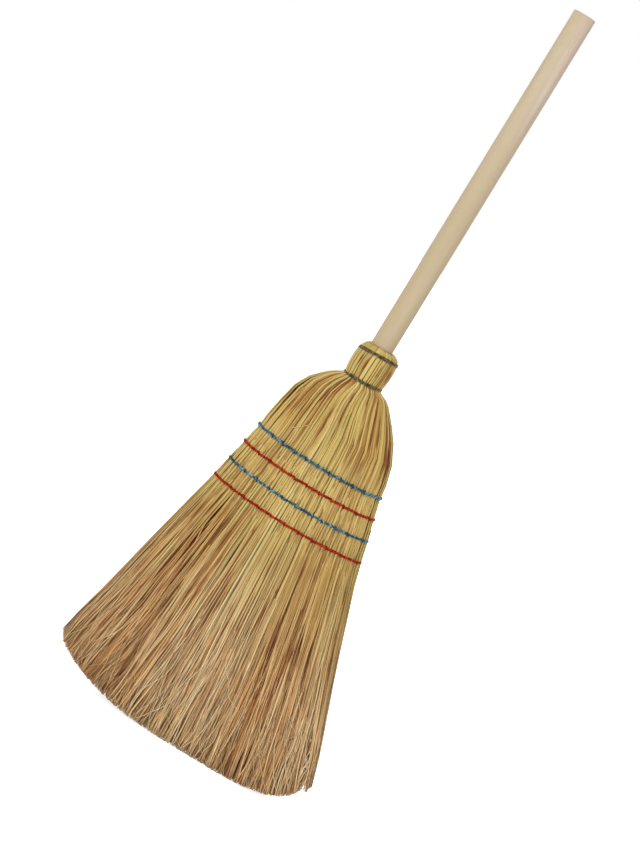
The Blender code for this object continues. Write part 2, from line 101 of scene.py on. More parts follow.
# %% The outline of the head
# Each row in mm: down from the butts, reach to the left and right of the stick's axis,
# half the depth.
head_rows = (
    (0.0, 13.2, 14.4, 13.8), (1.0, 15.2, 17.8, 16.6), (3.0, 17.6, 21.0, 19.4),
    (6.0, 19.3, 22.4, 20.8), (9.0, 20.3, 23.1, 21.7), (12.0, 20.9, 23.5, 22.7),
    (16.0, 21.4, 23.7, 23.5), (24.0, 21.5, 23.6, 23.5), (30.0, 21.0, 23.1, 22.5),
    (34.0, 20.4, 21.9, 21.0), (37.0, 19.8, 21.6, 20.2), (38.5, 19.9, 22.0, 20.0),
    (40.0, 22.6, 25.0, 20.2), (42.0, 26.4, 31.0, 20.6), (45.0, 31.4, 35.2, 21.2),
    (48.0, 35.3, 38.3, 21.8), (51.0, 38.3, 40.4, 22.2), (54.0, 41.3, 43.3, 22.6),
    (57.0, 44.3, 46.3, 23.0), (60.0, 47.2, 48.4, 23.3), (66.0, 52.2, 54.2, 23.8),
    (72.0, 55.0, 58.6, 24.0), (84.0, 57.4, 64.4, 23.8), (97.0, 60.6, 71.6, 23.2),
    (109.0, 62.5, 75.0, 22.6), (121.0, 64.8, 77.0, 22.0), (133.0, 66.3, 79.6, 21.6),
    (145.0, 68.3, 82.0, 21.4), (169.0, 72.6, 88.4, 21.2), (205.0, 79.4, 96.8, 21.2),
    (253.0, 90.4, 113.4, 21.6), (301.0, 101.2, 130.0, 22.2), (349.0, 111.5, 148.0, 22.8),
    (385.0, 120.8, 161.6, 23.4), (412.0, 126.2, 169.6, 23.8), (450.0, 134.5, 181.5, 24.2),
)
# A squareness of 2 gives an ellipse, and more gives a flatter head with fuller corners.
squareness = 2.6
level_step = 0.5 * MM
levels = np.arange(0.0, head_rows[-1][0] * MM + level_step, level_step)
soft_levels = 7


def softened(values, count):
    """Values made smooth: each becomes the mean of the count values round it."""
    padded = np.pad(values, count // 2, mode="edge")
    return np.convolve(padded, np.full(count, 1 / count), mode="valid")


row_levels, *row_reaches = (np.array(head_rows) * MM).T
reach_left, reach_right, reach_deep = (
    softened(np.interp(levels, row_levels, reach), soft_levels) for reach in row_reaches)
print("levels down the head:", len(levels))

# %% Sections of the head
half_reach = (reach_left + reach_right) / 2
shoulder = (38.0 * MM, 100.0 * MM)
straight_reach = np.where(
    (levels > shoulder[0]) & (levels < shoulder[1]),
    np.interp(levels, shoulder, np.interp(shoulder, levels, half_reach)), half_reach)
# How flat the section is: 0 is round, on the neck, and 1 is squared off.
flatness = np.interp(levels / MM, (39, 45, 60, 78, 110), (0.0, 0.15, 0.45, 0.75, 1.0))


def section(height):
    """Centre, half width, half depth and flatness of the head at these heights."""
    down = np.clip(butts_z - height, 0.0, levels[-1])
    left, right, deep, flat = (
        np.interp(down, levels, row) for row in (reach_left, reach_right, reach_deep, flatness))
    return axis_x + (right - left) / 2, (right + left) / 2, deep, flat


def inner_reach(height, across):
    """Half width for a stalk: inner ones cut straight over the shoulder's round."""
    down = np.clip(butts_z - height, 0.0, levels[-1])
    outer = np.abs(np.clip(across, -1, 1)) ** 1.5
    return (np.interp(down, levels, half_reach) * outer
            + np.interp(down, levels, straight_reach) * (1.0 - outer))


def bulge(share):
    """How deep the squared-off section still is at this share of its half width."""
    return np.clip(1.0 - np.abs(share) ** squareness, 0.0, 1.0) ** (1.0 / squareness)


def signed_power(value, power):
    """A power that keeps the sign of its value."""
    return np.sign(value) * np.abs(value) ** power


widest_z = 38.0 * MM
print("widest in mm:", round(float(section(np.array(widest_z))[1]) * 2 / MM, 1))

# %% [markdown]
# The twine draws the straw in along each seam, the free bristles part here and there
# into tufts, and short dark clefts open between the stalks higher up. They could be cut
# into the finished mesh, but that would cut straws too. All are small moves that the
# straws share, so they are functions that every path goes through. The straws deep inside
# hardly part, so only one slit can be seen through.

# %% Places of the partings and clefts
# Partings open below this height in metres. How far they push the straws aside, and how
# sharp they are, is given in half widths of the head.
parting_start = 0.17
parting_reach = 0.03
parting_edge = 0.003
# Where across the head a parting starts, how far it leans, its gap in mm at the tips.
slit = (0.872, 0.095, 5.0)
front_partings = (
    (-0.88, -0.03, 1.0), (-0.74, 0.01, 0.7), (-0.63, -0.02, 1.3), (-0.47, 0.02, 0.8),
    (-0.33, -0.02, 1.1), (-0.19, 0.02, 0.7), (-0.05, 0.0, 1.2), (0.11, 0.02, 0.8),
    (0.23, -0.02, 1.2), (0.38, 0.02, 0.9), (0.52, 0.0, 1.3), (0.66, 0.03, 0.8), (0.77, 0.01, 1.0))
back_partings = tuple((-place + 0.06, -lean, gap) for place, lean, gap in front_partings[1:])
partings = {-1: front_partings, 1: back_partings, 0: ()}
# Where across a cleft is, its middle height, half its length and half its width, in mm.
clefts = (
    (-0.84, 342, 24, 1.6), (-0.22, 345, 20, 1.9), (-0.61, 170, 62, 3.2), (0.53, 222, 26, 1.5),
    (0.40, 120, 44, 1.6), (0.63, 140, 44, 1.5), (-0.52, 330, 17, 1.1), (0.08, 318, 18, 1.1),
    (0.34, 352, 22, 1.2), (0.66, 332, 26, 1.4), (-0.42, 372, 15, 0.9), (-0.30, 196, 40, 1.3),
    (-0.78, 236, 34, 2.6), (-0.06, 150, 44, 1.0), (-0.47, 268, 12, 0.9), (0.20, 262, 12, 0.9),
    (0.55, 288, 11, 0.9), (-0.15, 288, 12, 0.9), (0.28, 180, 34, 1.1), (0.83, 200, 40, 1.2),
    (-0.72, 120, 40, 1.9), (0.14, 90, 30, 1.2), (-0.36, 96, 34, 1.2), (0.76, 86, 30, 1.2),
    (-0.10, 386, 15, 1.0), (0.14, 390, 14, 0.9), (0.46, 378, 16, 1.0), (-0.56, 386, 14, 1.0),
    (0.27, 372, 18, 0.9), (-0.02, 366, 18, 1.0), (-0.55, 128, 40, 1.6), (-0.75, 172, 36, 2.0),
    (-0.69, 204, 48, 2.8), (-0.53, 226, 30, 1.5), (-0.86, 150, 50, 1.6), (0.70, 190, 36, 1.2),
    (0.38, 397, 15, 1.4), (-0.12, 328, 12, 1.3))
cleft_reach = 0.022
print("partings in front:", len(front_partings), "and clefts:", len(clefts))

# %% Grooves and partings
groove_depth = 2.0 * MM
groove_reach = 2.7 * MM


def seam_line(z, face, across):
    """Height of a seam: it sags in the middle and climbs a little on its way round."""
    across = np.clip(across, -1, 1)
    return z - seam_sag[z] * (1.0 - across ** 2) - face * twine_lap * (1.0 - across) / 4


def groove(face, across, height):
    """How far the twine draws the straw in."""
    depth = 0.0 * height
    for z in seam_z:
        depth = depth + np.exp(-((height - seam_line(z, face, across)) / groove_reach) ** 2)
    return groove_depth * depth


def aside(away, gap, reach):
    """The move away from a gap: strongest beside it, then fading."""
    return np.tanh(away / parting_edge) * gap * np.exp(-np.abs(away) / reach)


def parting(face, across, height, outer=1.0):
    """How far straws move aside from the partings of this face, outer ones the most."""
    low = np.clip(1.0 - height / parting_start, 0.0, 1.0) ** 1.6
    place, lean, gap = slit
    move = aside(across - place - lean * low, gap, parting_reach) * low
    for place, lean, gap in partings[face]:
        move = move + outer * aside(across - place - lean * low, gap, parting_reach) * low
    for place, middle, half, gap in clefts if face else ():
        open_here = np.clip(1.0 - ((height / MM - middle) / half) ** 2, 0.0, 1.0)
        move = move + outer * aside(across + face * place, gap, cleft_reach) * open_here
    return move * MM


middle_depth = float(groove(-1, 0.0, seam_line(seam_z[0], -1, 0.0)))
print("the twine draws the straw in by", round(middle_depth / MM, 1), "mm")

# %% [markdown]
# The skin of the head is the surface that straws lie on. Its section blends from round,
# on the neck, to squared off, and each hank covers an even share of it. It isn't modelled:
# a straw asks for points some way under it, and for the way out, so it can lie flat there.

# %% Points on the skin of the head
# The front hanks cover this share of the half width, and the two edge hanks the rest.
front_share = 0.93
front_angle = math.pi / (2 * hank_count + 2) * hank_count
side_angle = math.pi / 2 - front_angle
edge_bulge = bulge(np.array(front_share))
parted_depth = 4.0 * MM


def skin_point(face, side, share, height, under):
    """Points that far under the head's skin, and the way out of the head there.

    share runs across the front (face -1) or back (face 1), or round an edge (side -1
    or 1) from front to back.
    """
    centre, half_width, deep, flat = section(height)
    if side:
        round_x, round_y = side * np.cos(share * side_angle), np.sin(share * side_angle)
        flat_y = share * edge_bulge
        flat_x = side * bulge(flat_y)
    else:
        round_x, round_y = np.sin(share * front_angle), face * np.cos(share * front_angle)
        flat_x = share * front_share
        flat_y = face * bulge(flat_x)
    x = round_x + (flat_x - round_x) * flat
    y = round_y + (flat_y - round_y) * flat
    steep_x = signed_power(flat_x, squareness - 1) / half_width
    steep_y = signed_power(flat_y, squareness - 1) / deep
    steep = np.hypot(steep_x, steep_y)
    out_x = round_x + (steep_x / steep - round_x) * flat
    out_y = round_y + (steep_y / steep - round_y) * flat
    length = np.hypot(out_x, out_y)
    out_x, out_y = out_x / length, out_y / length
    inward = under + groove(face, x, height)
    outer = np.clip(1.0 - under / parted_depth, 0.0, 1.0)
    points = np.stack([
        centre + x * inner_reach(height, x) - out_x * inward + parting(face, x, height, outer),
        y * deep - out_y * inward, height + 0 * x], axis=-1)
    return points, np.stack([out_x, out_y, 0 * out_x], axis=-1)


neck_middle = 20.0 * MM
hank_pitch = 2 * front_angle / hank_count * float(section(butts_z - neck_middle)[1])
print("a hank covers", round(hank_pitch / MM, 1), "mm of the neck")

# %% [markdown]
# Weather has left red-brown streaks on the head. Chance alone would put them anywhere, so
# their places are listed, and each point of a straw asks here how red it is. The neck is
# cleaner than the rest. The back has the streaks at the same places, from its own side.

# %% Red-brown streaks
neck_cleaner = 0.5
clean_fade = 6 * MM
# Where across a red-brown streak is, its middle height and half its length in mm, how
# far it reaches across, its strength.
streaks = (
    (-0.60, 433, 10, 0.06, 1.3), (-0.27, 430, 15, 0.04, 1.2), (0.12, 429, 13, 0.05, 1.3),
    (0.40, 427, 20, 0.06, 1.9), (0.86, 428, 18, 0.12, 1.1), (0.38, 400, 19, 0.045, 1.0),
    (-0.06, 400, 12, 0.04, 0.6), (-0.21, 366, 26, 0.016, 0.9), (-0.12, 328, 22, 0.02, 1.0),
    (-0.07, 294, 24, 0.025, 0.9), (-0.82, 362, 22, 0.03, 0.7), (-0.86, 334, 20, 0.03, 0.6),
    (-0.62, 352, 20, 0.02, 0.6), (0.66, 340, 30, 0.025, 0.8), (0.30, 350, 26, 0.02, 0.8),
    (0.90, 362, 26, 0.05, 0.8), (-0.89, 198, 36, 0.06, 0.35), (-0.71, 206, 46, 0.03, 0.4),
    (-0.19, 160, 26, 0.025, 0.4), (0.39, 140, 36, 0.025, 0.5), (0.62, 148, 36, 0.02, 0.5))


def streaked(points):
    """Extra redness of the straw at these points."""
    centre, half_width, _, _ = section(points[:, 2])
    across = (centre - points[:, 0]) / half_width * np.sign(points[:, 1])
    extra = np.interp(points[:, 2], (throat_z, throat_z + clean_fade), (0.0, -neck_cleaner))
    for place, middle, half, reach, strength in streaks:
        here = np.clip(1.0 - ((points[:, 2] / MM - middle) / half) ** 2, 0.0, 1.0)
        extra += strength * here * np.exp(-((across - place) / reach) ** 2)
    return extra


print("streaks on each side:", len(streaks))

# %% [markdown]
# A straw is modelled once, as by hand: a thin cylinder with few sides, cut into rings.
# Its copies are then bent along their own paths, because no two straws of a broom run
# alike. A particle system could do this too, but it lets go of the exact places. There
# are three blanks: one with eight sides for the wide stalks of the neck, one with four
# for other stalks, and one with three for the fine fibres, which are repeated thousands
# of times and have to stay light.

# %% Blanks for the straws
stalk_rings = 28
fibre_rings = 10


def deselected(kind):
    """Select nothing on the mesh, and let edges or faces be selected next."""
    bpy.ops.object.mode_set(mode="EDIT")
    bpy.ops.mesh.select_mode(type=kind)
    bpy.ops.mesh.select_all(action="DESELECT")
    bpy.ops.object.mode_set(mode="OBJECT")


def straw_blank(sides, rings):
    """A straw one unit long and wide, cut into rings: points, ring of each, faces."""
    bpy.ops.object.select_all(action="DESELECT")
    bpy.ops.mesh.primitive_cylinder_add(
        vertices=sides, radius=0.5, depth=1.0, location=(0, 0, 0.5))
    blank = bpy.context.object
    bpy.ops.object.transform_apply(location=True, rotation=False, scale=False)
    deselected("EDGE")
    # Only the edges along the straw, which is one unit long, are cut.
    for edge in blank.data.edges:
        low, high = (blank.data.vertices[i].co.z for i in edge.vertices)
        edge.select = abs(high - low) > 0.5
    bpy.ops.object.mode_set(mode="EDIT")
    bpy.ops.mesh.subdivide(number_cuts=rings - 2)
    bpy.ops.object.mode_set(mode="OBJECT")
    points = np.array([vertex.co for vertex in blank.data.vertices])
    faces = [list(face.vertices) for face in blank.data.polygons]
    bpy.data.objects.remove(blank, do_unlink=True)
    return points, np.rint(points[:, 2] * (rings - 1)).astype(int), faces


wide_blank = straw_blank(8, stalk_rings)
stalk_blank = straw_blank(4, stalk_rings)
fibre_blank = straw_blank(3, fibre_rings)
print("faces of a stalk:", len(stalk_blank[2]), "and of a fibre:", len(fibre_blank[2]))

# %% Bend copies of a blank
seed = 31
chance = np.random.default_rng(seed)


def unit(vectors):
    """The same directions, each one long."""
    return vectors / np.linalg.norm(vectors, axis=-1, keepdims=True)


def bend(blank, path, out, width, thick, roll=0.0):
    """Copies of a blank along paths; path and out have a point for each ring.

    roll is how far each copy is turned about its own path.
    """
    points, rings, faces = blank
    along = unit(np.gradient(path, axis=1))
    side = unit(np.cross(out, along))
    out = np.cross(along, side)
    turn = chance.normal(0.0, 1.0, (len(path), 1, 1)) * roll
    side, out = side * np.cos(turn) + out * np.sin(turn), out * np.cos(turn) - side * np.sin(turn)
    length = np.linalg.norm(np.diff(path, axis=1, prepend=path[:, :1]), axis=-1).cumsum(axis=1)
    across = points[:, 0] * width[:, rings]
    bent = (path[:, rings] + side[:, rings] * across[..., None]
            + out[:, rings] * (points[:, 1] * thick[:, rings])[..., None])
    return bent, np.stack([across, length[:, rings]], axis=-1), blank


print("seed of the straws:", seed)

# %% Make straws one mesh
# What age adds to a straw's tone and redness, and the painted shade, darker and redder, that lying deep
# adds to them.
aging = np.array((0.3, 0.4, 0.0))
deep_painted_shade, deep_painted_red = 0.45, 0.35


def straw_piece(name, groups, age=0.0):
    """One mesh from groups of bent straws, each group with the tints of its straws.

    age makes the whole piece darker and redder. The fourth part of a tint is 1 along the
    two edges of a straw and 0 along its middle; the material paints shade on the edges by it.
    """
    points, uvs, tints, faces = [], [], [], []
    count = 0
    for (bent, uv, (blank_points, _, blank_faces)), shade in groups:
        straws, size = bent.shape[:2]
        points.append(bent.reshape(-1, 3))
        uvs.append((uv + chance.random((straws, 1, 2))).reshape(-1, 2))
        aged = np.repeat(np.clip(shade + aging * age, 0, 1), size, axis=0)
        tints.append(np.column_stack([aged, np.tile(2 * np.abs(blank_points[:, 0]), straws)]))
        for straw in range(straws):
            first = count + straw * size
            faces.extend([first + i for i in face] for face in blank_faces)
        count += straws * size
    points, uvs, tints = (np.concatenate(part) for part in (points, uvs, tints))
    tints[:, 1] += streaked(points)
    mesh = bpy.data.meshes.new(name)
    mesh.from_pydata(points.tolist(), [], faces)
    corners = np.empty(len(mesh.loops), dtype=np.int32)
    mesh.loops.foreach_get("vertex_index", corners)
    layer = mesh.uv_layers.new(name="straw_uv")
    layer.data.foreach_set("uv", uvs[corners].astype(np.float32).ravel())
    colour = mesh.attributes.new("straw_tint", "FLOAT_COLOR", "POINT")
    colour.data.foreach_set("color", tints.astype(np.float32).ravel())
    mesh.shade_smooth()
    thing = bpy.data.objects.new(name, mesh)
    scene.collection.objects.link(thing)
    return thing


def tint(count, tone, red, deeper=0.0):
    """Tone, redness and a number of its own for each straw; deeper ones get painted shade, darker and
    redder.
    """
    tones = np.clip(chance.uniform(*tone, count) + deep_painted_shade * deeper, 0, 1)
    reds = np.clip(chance.uniform(0, 1, count) ** 3 * red + deep_painted_red * deeper, 0, 1)
    return np.column_stack([tones, reds, chance.random(count)])


print("the oldest straw gains", aging[0], "in tone and", aging[1], "in redness")

# %% [markdown]
# Now the straws of one hank. One kind of stalk would be simpler, but it would leave the
# neck striped or the shoulder bare, so there are three. A cover stalk is wide and flat on
# the neck, bends over the trimmed cone to the stick and ends somewhere below the seams.
# Short butts fill the cone beside it. Narrower stalks lie under it and come to the surface
# below the throat wire, where one stalk can no longer cover its share of the head.

# %% Rings and places of the stalks
# How far below the butts the rings lie that every stalk has on the neck.
neck_levels = np.array([
    0, 1.2, 3, 6, 8, 11, 16, 24, 31, 35, 38.5, 40.5, 43, 47, 53, 61, 75, 95, 115, 131]) * MM


def drop_levels(start, ends):
    """Heights of the rings of stalks: close together on the neck, then even."""
    neck = neck_levels[neck_levels >= start]
    t = np.linspace(0, 1, stalk_rings - len(neck) + 1)[1:]
    last = butts_z - neck[-1]
    lower = last + (ends[:, None] - last) * t
    return np.concatenate([np.repeat((butts_z - neck)[None], len(ends), 0), lower], axis=1)


def at_levels(height, downs, values):
    """A value for each ring, given at distances in mm down from the butts."""
    return np.interp(butts_z - height, np.array(downs) * MM, values)


def spaced(count, jitter):
    """Evenly spaced places across a hank, from -1 to 1, each moved a little."""
    place = (np.arange(count) + 0.5) / count * 2 - 1
    return (place + chance.uniform(-jitter, jitter, count) / count)[:, None]


print("rings on the neck:", len(neck_levels))

# %% Cover stalks
cover_thickness = 2.5 * MM
# The share of its hank that a cover fills, and the share of hanks with one whole cover.
cover_share = 0.97
whole_covers = 0.55
edge_shift = 0.34


def neck_edge(face, place):
    """Where two hanks meet on the neck: a sine scatters them about their even places."""
    return place + edge_shift / hank_count * np.sin(41.0 * place + 2.0 * face)


def cover_stalks(face, side, middle, half):
    """One wide stalk over the hank, or two that share its width."""
    first, last = (middle - half, middle + half) if side else (
        neck_edge(face, middle - half), neck_edge(face, middle + half))
    split = chance.uniform(0.28, 0.72)
    cuts = np.array([0, 1]) if chance.random() < whole_covers else np.array([0, split, 1])
    centres = first + (last - first) * (cuts[1:] + cuts[:-1])[:, None] / 2
    count = len(centres)
    height = drop_levels(0.0, chance.uniform(90, 170, count) * MM)
    wander = chance.uniform(-0.3, 0.3, (count, 1)) * at_levels(height, (0, 40, 130), (0, 0, 1))
    share = centres + half * wander
    width = at_levels(height, (0, 3, 6, 30, 40, 55, 90, 130, 220, 380),
                      (0.65, 0.9, 1.0, 1.0, 0.8, 0.62, 0.5, 0.42, 0.36, 0.12))
    width = width * hank_pitch * cover_share * (last - first) / (2 * half) * np.diff(cuts)[:, None]
    thick = at_levels(height, (0, 5, 40, 130, 380), (0.7, 1.0, 0.75, 0.5, 0.15)) * cover_thickness
    path, out = skin_point(face, side, share, height, thick * 0.5)
    return bend(wide_blank, path, out, width, thick, 0.05), tint(count, (0.05, 0.65), 0.3)


print("a cover stalk is up to", round(hank_pitch * cover_share / MM, 1), "mm wide")

# %% Butts and stalks under the cover
butt_width, butt_thickness = 2.5 * MM, 2.7 * MM
under_width = 3.3 * MM


def butts(face, side, middle, half, count):
    """Short butts on the cone, no two cut quite alike."""
    start = np.array([0, 1.2, 2.2, 3.2, 4.4, 5.6, 7, 8.5, 10, 12])
    down = np.interp(np.linspace(0, 1, stalk_rings), np.linspace(0, 1, len(start)), start) * MM
    height = np.repeat((butts_z - down)[None], count, 0) - chance.uniform(0, 0.7, (count, 1)) * MM
    share = middle + half * spaced(count, 0.4) + 0 * height
    under = at_levels(height, (0, 7, 10, 13), (1.4, 1.4, 2.4, 3.6)) * MM
    path, out = skin_point(face, side, share, height, under)
    width = at_levels(height, (0, 3, 13), (0.8, 1.0, 1.0)) * butt_width
    thick = np.full(width.shape, butt_thickness)
    return bend(stalk_blank, path, out, width, thick, 0.1), tint(count, (0.0, 0.45), 0.25)


def under_stalks(face, side, middle, half, count):
    """Narrower stalks under the cover, which come up below the throat wire."""
    ends = chance.uniform(60, 190, count) * MM
    height = drop_levels(3.0 * MM, ends)
    spread = at_levels(height, (0, 38, 60, 130), (0.85, 0.85, 0.98, 1.0))
    wander = chance.uniform(-0.22, 0.22, (count, 1)) * at_levels(height, (0, 45, 130), (0, 0, 1))
    share = middle + half * (spaced(count, 0.5) * spread + wander)
    deeper = chance.uniform(0.0, 1.0, (count, 1)) ** 1.5
    hidden = at_levels(height, (0, 8, 30, 38, 44, 58), (2.6, 1.6, 1.6, 1.2, 0.5, 0.0))
    thick = at_levels(height, (0, 50, 130, 390), (1.3, 1.2, 0.9, 0.3)) * MM
    path, out = skin_point(face, side, share, height, (deeper * 1.2 + hidden) * MM + thick / 2)
    width = at_levels(height, (0, 40, 55, 80, 130, 220, 390), (0.8, 0.8, 1.0, 0.9, 0.68, 0.5, 0.12))
    width = width * under_width * chance.uniform(0.55, 1.25, (count, 1))
    # Stalks that lie deeper get painted shade in their tint.
    shade = tint(count, (0.0, 0.55), 0.9, deeper[:, 0])
    return bend(wide_blank, path, out, width, thick, 0.12), shade


print("widths of butts and stalks in mm:", butt_width / MM, "and", under_width / MM)

# %% [markdown]
# Below the shoulder the head is made of narrower stalks. Some fill it from the throat
# down. Others run on past the last seam to the trimmed edge, and they are the pale
# streaks between the finer fibres. Both start hidden under the stalks above them, because
# real straw overlaps too and no row of ends may show.

# %% The trimmed edge
tip_rise = 34.0 * MM
# How steeply the trimmed edge rises on the left and on the right, from the middle.
tip_powers = (2.35, 5.0)
# The left corner is cut back once more, from here outwards.
corner_start, corner_width, corner_rise = 0.93, 0.07, 5.0 * MM


def tip_height(across):
    """Height of the trimmed edge: rounder on the left, squarer on the right."""
    rounded = corner_rise * (np.clip(-across - corner_start, 0, None) / corner_width) ** 2
    return tip_rise * np.abs(across) ** np.where(across < 0, *tip_powers) + rounded


def trimmed(across):
    """Where a straw ends: at the trimmed edge or some tenths of a millimetre above."""
    return tip_height(across) + np.abs(chance.normal(0, 0.4, (len(across), 1))) * MM


def edge_share(side, share):
    """Where across the head a straw lies, from -1 to 1."""
    return side * bulge(share * edge_bulge) if side else share * front_share


print("trimmed edge rises", tip_rise / MM, "mm at the corners")

# %% Stalks of the sewn part and the fan
fill_width = 3.3 * MM
long_width = 2.2 * MM


def fill_stalks(face, side, middle, half, count):
    """Stalks that start inside the throat and fill the shoulder and the sewn part."""
    ends = chance.uniform(20, 200, count) * MM
    height = drop_levels(35.0 * MM, ends)
    spread = at_levels(height, (0, 38, 70, 130), (0.6, 0.8, 1.0, 1.02))
    wander = chance.uniform(-0.3, 0.3, (count, 1)) * at_levels(height, (0, 60, 430), (0, 0, 1))
    share = middle + half * (spaced(count, 0.9) * spread + wander)
    deeper = chance.uniform(0.0, 1.0, (count, 1)) ** 1.8
    hidden = at_levels(height, (0, 42, 60, 100, 128), (4.0, 2.6, 1.0, 0.3, 0.0))
    thick = at_levels(height, (0, 130, 430), (1.1, 1.0, 0.35)) * MM
    path, out = skin_point(face, side, share, height, (deeper * 1.6 + hidden) * MM + thick / 2)
    width = at_levels(height, (0, 130, 220, 300, 430), (1.2, 1.0, 0.8, 0.6, 0.25))
    width = width * fill_width * chance.uniform(0.45, 1.3, (count, 1))
    # Stalks that lie deeper get painted shade in their tint.
    shade = tint(count, (0.0, 0.6), 0.9, deeper[:, 0])
    return bend(stalk_blank, path, out, width, thick, 0.18), shade


def long_stalks(face, side, middle, half, count):
    """Stalks that run from the last seam to the trimmed edge."""
    share = middle + half * spaced(count, 2.0)
    t = np.linspace(0, 1, stalk_rings)[None]
    wave = np.sin(2 * math.pi * (t * chance.uniform(0.8, 2.2, (count, 1)) + chance.random((count, 1))))
    wander = chance.normal(0, 0.6, (count, 1)) * t ** 2 + 0.18 * wave * t
    share = np.clip(share + half * wander, -1.06, 1.06)
    cut = trimmed(edge_share(side, share[:, -1:]))
    start = seam_z[-1] + chance.uniform(-8, 50, (count, 1)) * MM
    height = start + (cut - start) * t
    width = long_width * chance.uniform(0.4, 1.3, (count, 1)) * np.interp(
        t, (0, 0.5, 1), (1.0, 0.9, 0.6))
    thick = width * 0.45
    deeper = chance.uniform(0.0, 1.0, (count, 1)) ** 1.3
    hidden = np.interp(height, (seam_z[-1] - 16 * MM, seam_z[-1] - 4 * MM), (0.0, 2.5)) * MM
    under = deeper * 3.0 * MM + hidden + thick / 2 + 0.3 * MM * wave * t
    path, out = skin_point(face, side, share, height, under)
    # Stalks that lie deeper get painted shade in their tint.
    return bend(stalk_blank, path, out, width, thick, 0.35), tint(
        count, (0.0, 0.5), 0.5, 0.8 * deeper[:, 0])


print("widths of these stalks in mm:", fill_width / MM, "and", long_width / MM)

# %% [markdown]
# The fine fibres start inside the sewn part and fan out to the trimmed edge, at all
# depths of the head. Some lie a little past its middle, so that the two halves meet. Each
# bends a little its own way, and some end short. A few crooked ones lie on top near the
# tips, and one pale straw has slipped askew above the first seam. Hair curves would be
# quicker to grow, but the export wants meshes, so each fibre is a bent copy of a blank.

# %% Fine fibres
fibre_width = 0.95 * MM
fibres_per_hank = 380
wisps_per_hank = 8
short_fibres = 0.16
# How far a fibre leans aside at its tip and sways on its way.
fibre_bend = (6.0 * MM, 1.5 * MM)
wisp_bend = (17.0 * MM, 4.5 * MM)
to_front = np.array([0.0, -1.0, 0.0])


def fibres(face, side, middle, half, count, crooked=False):
    """Fine fibres at all depths of the head, or crooked ones on top of it."""
    share = (middle + half * chance.uniform(-1.05, 1.05, count))[:, None]
    across = edge_share(side, share)
    t = np.linspace(0, 1, fibre_rings)[None]
    phase = chance.uniform(0, 2 * math.pi, (count, 1))
    wave = np.sin(chance.uniform(0.5, 1.8, (count, 1)) * 2 * math.pi * t + phase) - np.sin(phase)
    lean, sway = wisp_bend if crooked else fibre_bend
    drift = chance.normal(0, lean, (count, 1)) * t ** 2 + chance.normal(0, sway, (count, 1)) * wave * t
    tip_half = section(tip_height(across))[1]
    tip_across = np.clip(across + drift[:, -1:] / tip_half, -1, 1)
    short = (chance.random((count, 1)) < short_fibres) * chance.uniform(5, 90, (count, 1)) * MM
    cut = trimmed(tip_across)
    if crooked:
        depth = 1.0 + 0.02 * chance.random((count, 1))
        start = cut + chance.uniform(30, 120, (count, 1)) * MM
        cut = cut + (chance.random((count, 1)) < 0.5) * short
    else:
        # Most lie near the skin, and some a little past the middle.
        depth = signed_power(chance.uniform(-0.08, 0.96, (count, 1)), 0.72)
        start = seam_z[-1] + chance.uniform(-12, 34, (count, 1)) * MM
        cut = cut + short
    height = start + (cut - start) * t
    centre, half_width, deep, _ = section(height)
    where = np.clip(across + drift / half_width, -1.01, 1.0)
    if side:
        y = share * edge_bulge * deep * depth
    else:
        y = face * bulge(where) * deep * depth
    y = y + chance.normal(0, 0.5 * MM, (count, 1)) * wave * t
    y = y - np.sign(y) * groove(face, where, height) * depth
    x = centre + where * half_width + parting(face, where, height, np.clip(depth, 0, 1) ** 3)
    path = np.stack([x, y, height + 0 * x], axis=-1)
    out = to_front + 0 * path
    width = fibre_width * chance.uniform(0.5, 1.2, (count, 1)) * np.interp(
        t, (0, 0.1, 0.7, 1), (0.8, 1.0, 0.95, 0.7))
    # Fibres nearer the middle of the head get painted shade in their tint.
    shade = tint(count, (0.0, 0.25), 0.2) if crooked else tint(
        count, (0.05, 0.65), 0.5, 1.1 * (1 - np.abs(depth[:, 0])))
    return bend(fibre_blank, path, out, width, width * 0.8, 1.5), shade


print("fibres in all:", fibres_per_hank * (2 * hank_count + 1))

# %% The straw that lies askew
# Where it starts, across and up, and how far it runs, in mm.
askew_start, askew_run = (-57.0, 338.0), (16.0, 15.0)


def askew_straw():
    """The straw that has slipped: it lies across the others above the first seam."""
    t = np.linspace(0, 1, stalk_rings)[None]
    x = (askew_start[0] + askew_run[0] * t + 1.2 * np.sin(3 * t)) * MM
    height = (askew_start[1] + askew_run[1] * t) * MM
    centre, half_width, deep, _ = section(height)
    y = -deep * bulge((x - centre) / half_width) - 0.6 * MM
    path = np.stack([x, y, height], axis=-1)
    width = np.interp(t, (0, 1), (1.0, 0.6)) * MM
    return bend(stalk_blank, path, to_front + 0 * path, width, width * 0.6), tint(1, (0.0, 0.0), 0.0)


print("the askew straw shows", round(math.hypot(*askew_run)), "mm")

# %% [markdown]
# Each hank of the model is replaced by one mesh with all its straws, which is far lighter
# than hundreds of objects. Hanks are cut from different plants, so some are redder and
# darker than others. The narrow hanks on the edges get the same straw, only less of it.

# %% Build the hanks
hank_age = (0.5, 0.85, 0.65, 0.25, 0.05, 0.0, 0.3, 0.75, 0.5, 0.28)
# Butts, stalks under the cover, stalks that fill, long stalks, fibres and wisps.
hank_counts = (3, 6, 13, 22, fibres_per_hank, wisps_per_hank)
edge_counts = (3, 5, 11, 14, fibres_per_hank // 2, wisps_per_hank // 2)


def hank_groups(place, counts):
    """All the straws of one hank."""
    kinds = zip((butts, under_stalks, fill_stalks, long_stalks, fibres), counts)
    return ([cover_stalks(*place)] + [lay(*place, count) for lay, count in kinds]
            + [fibres(*place, counts[-1], crooked=True)])


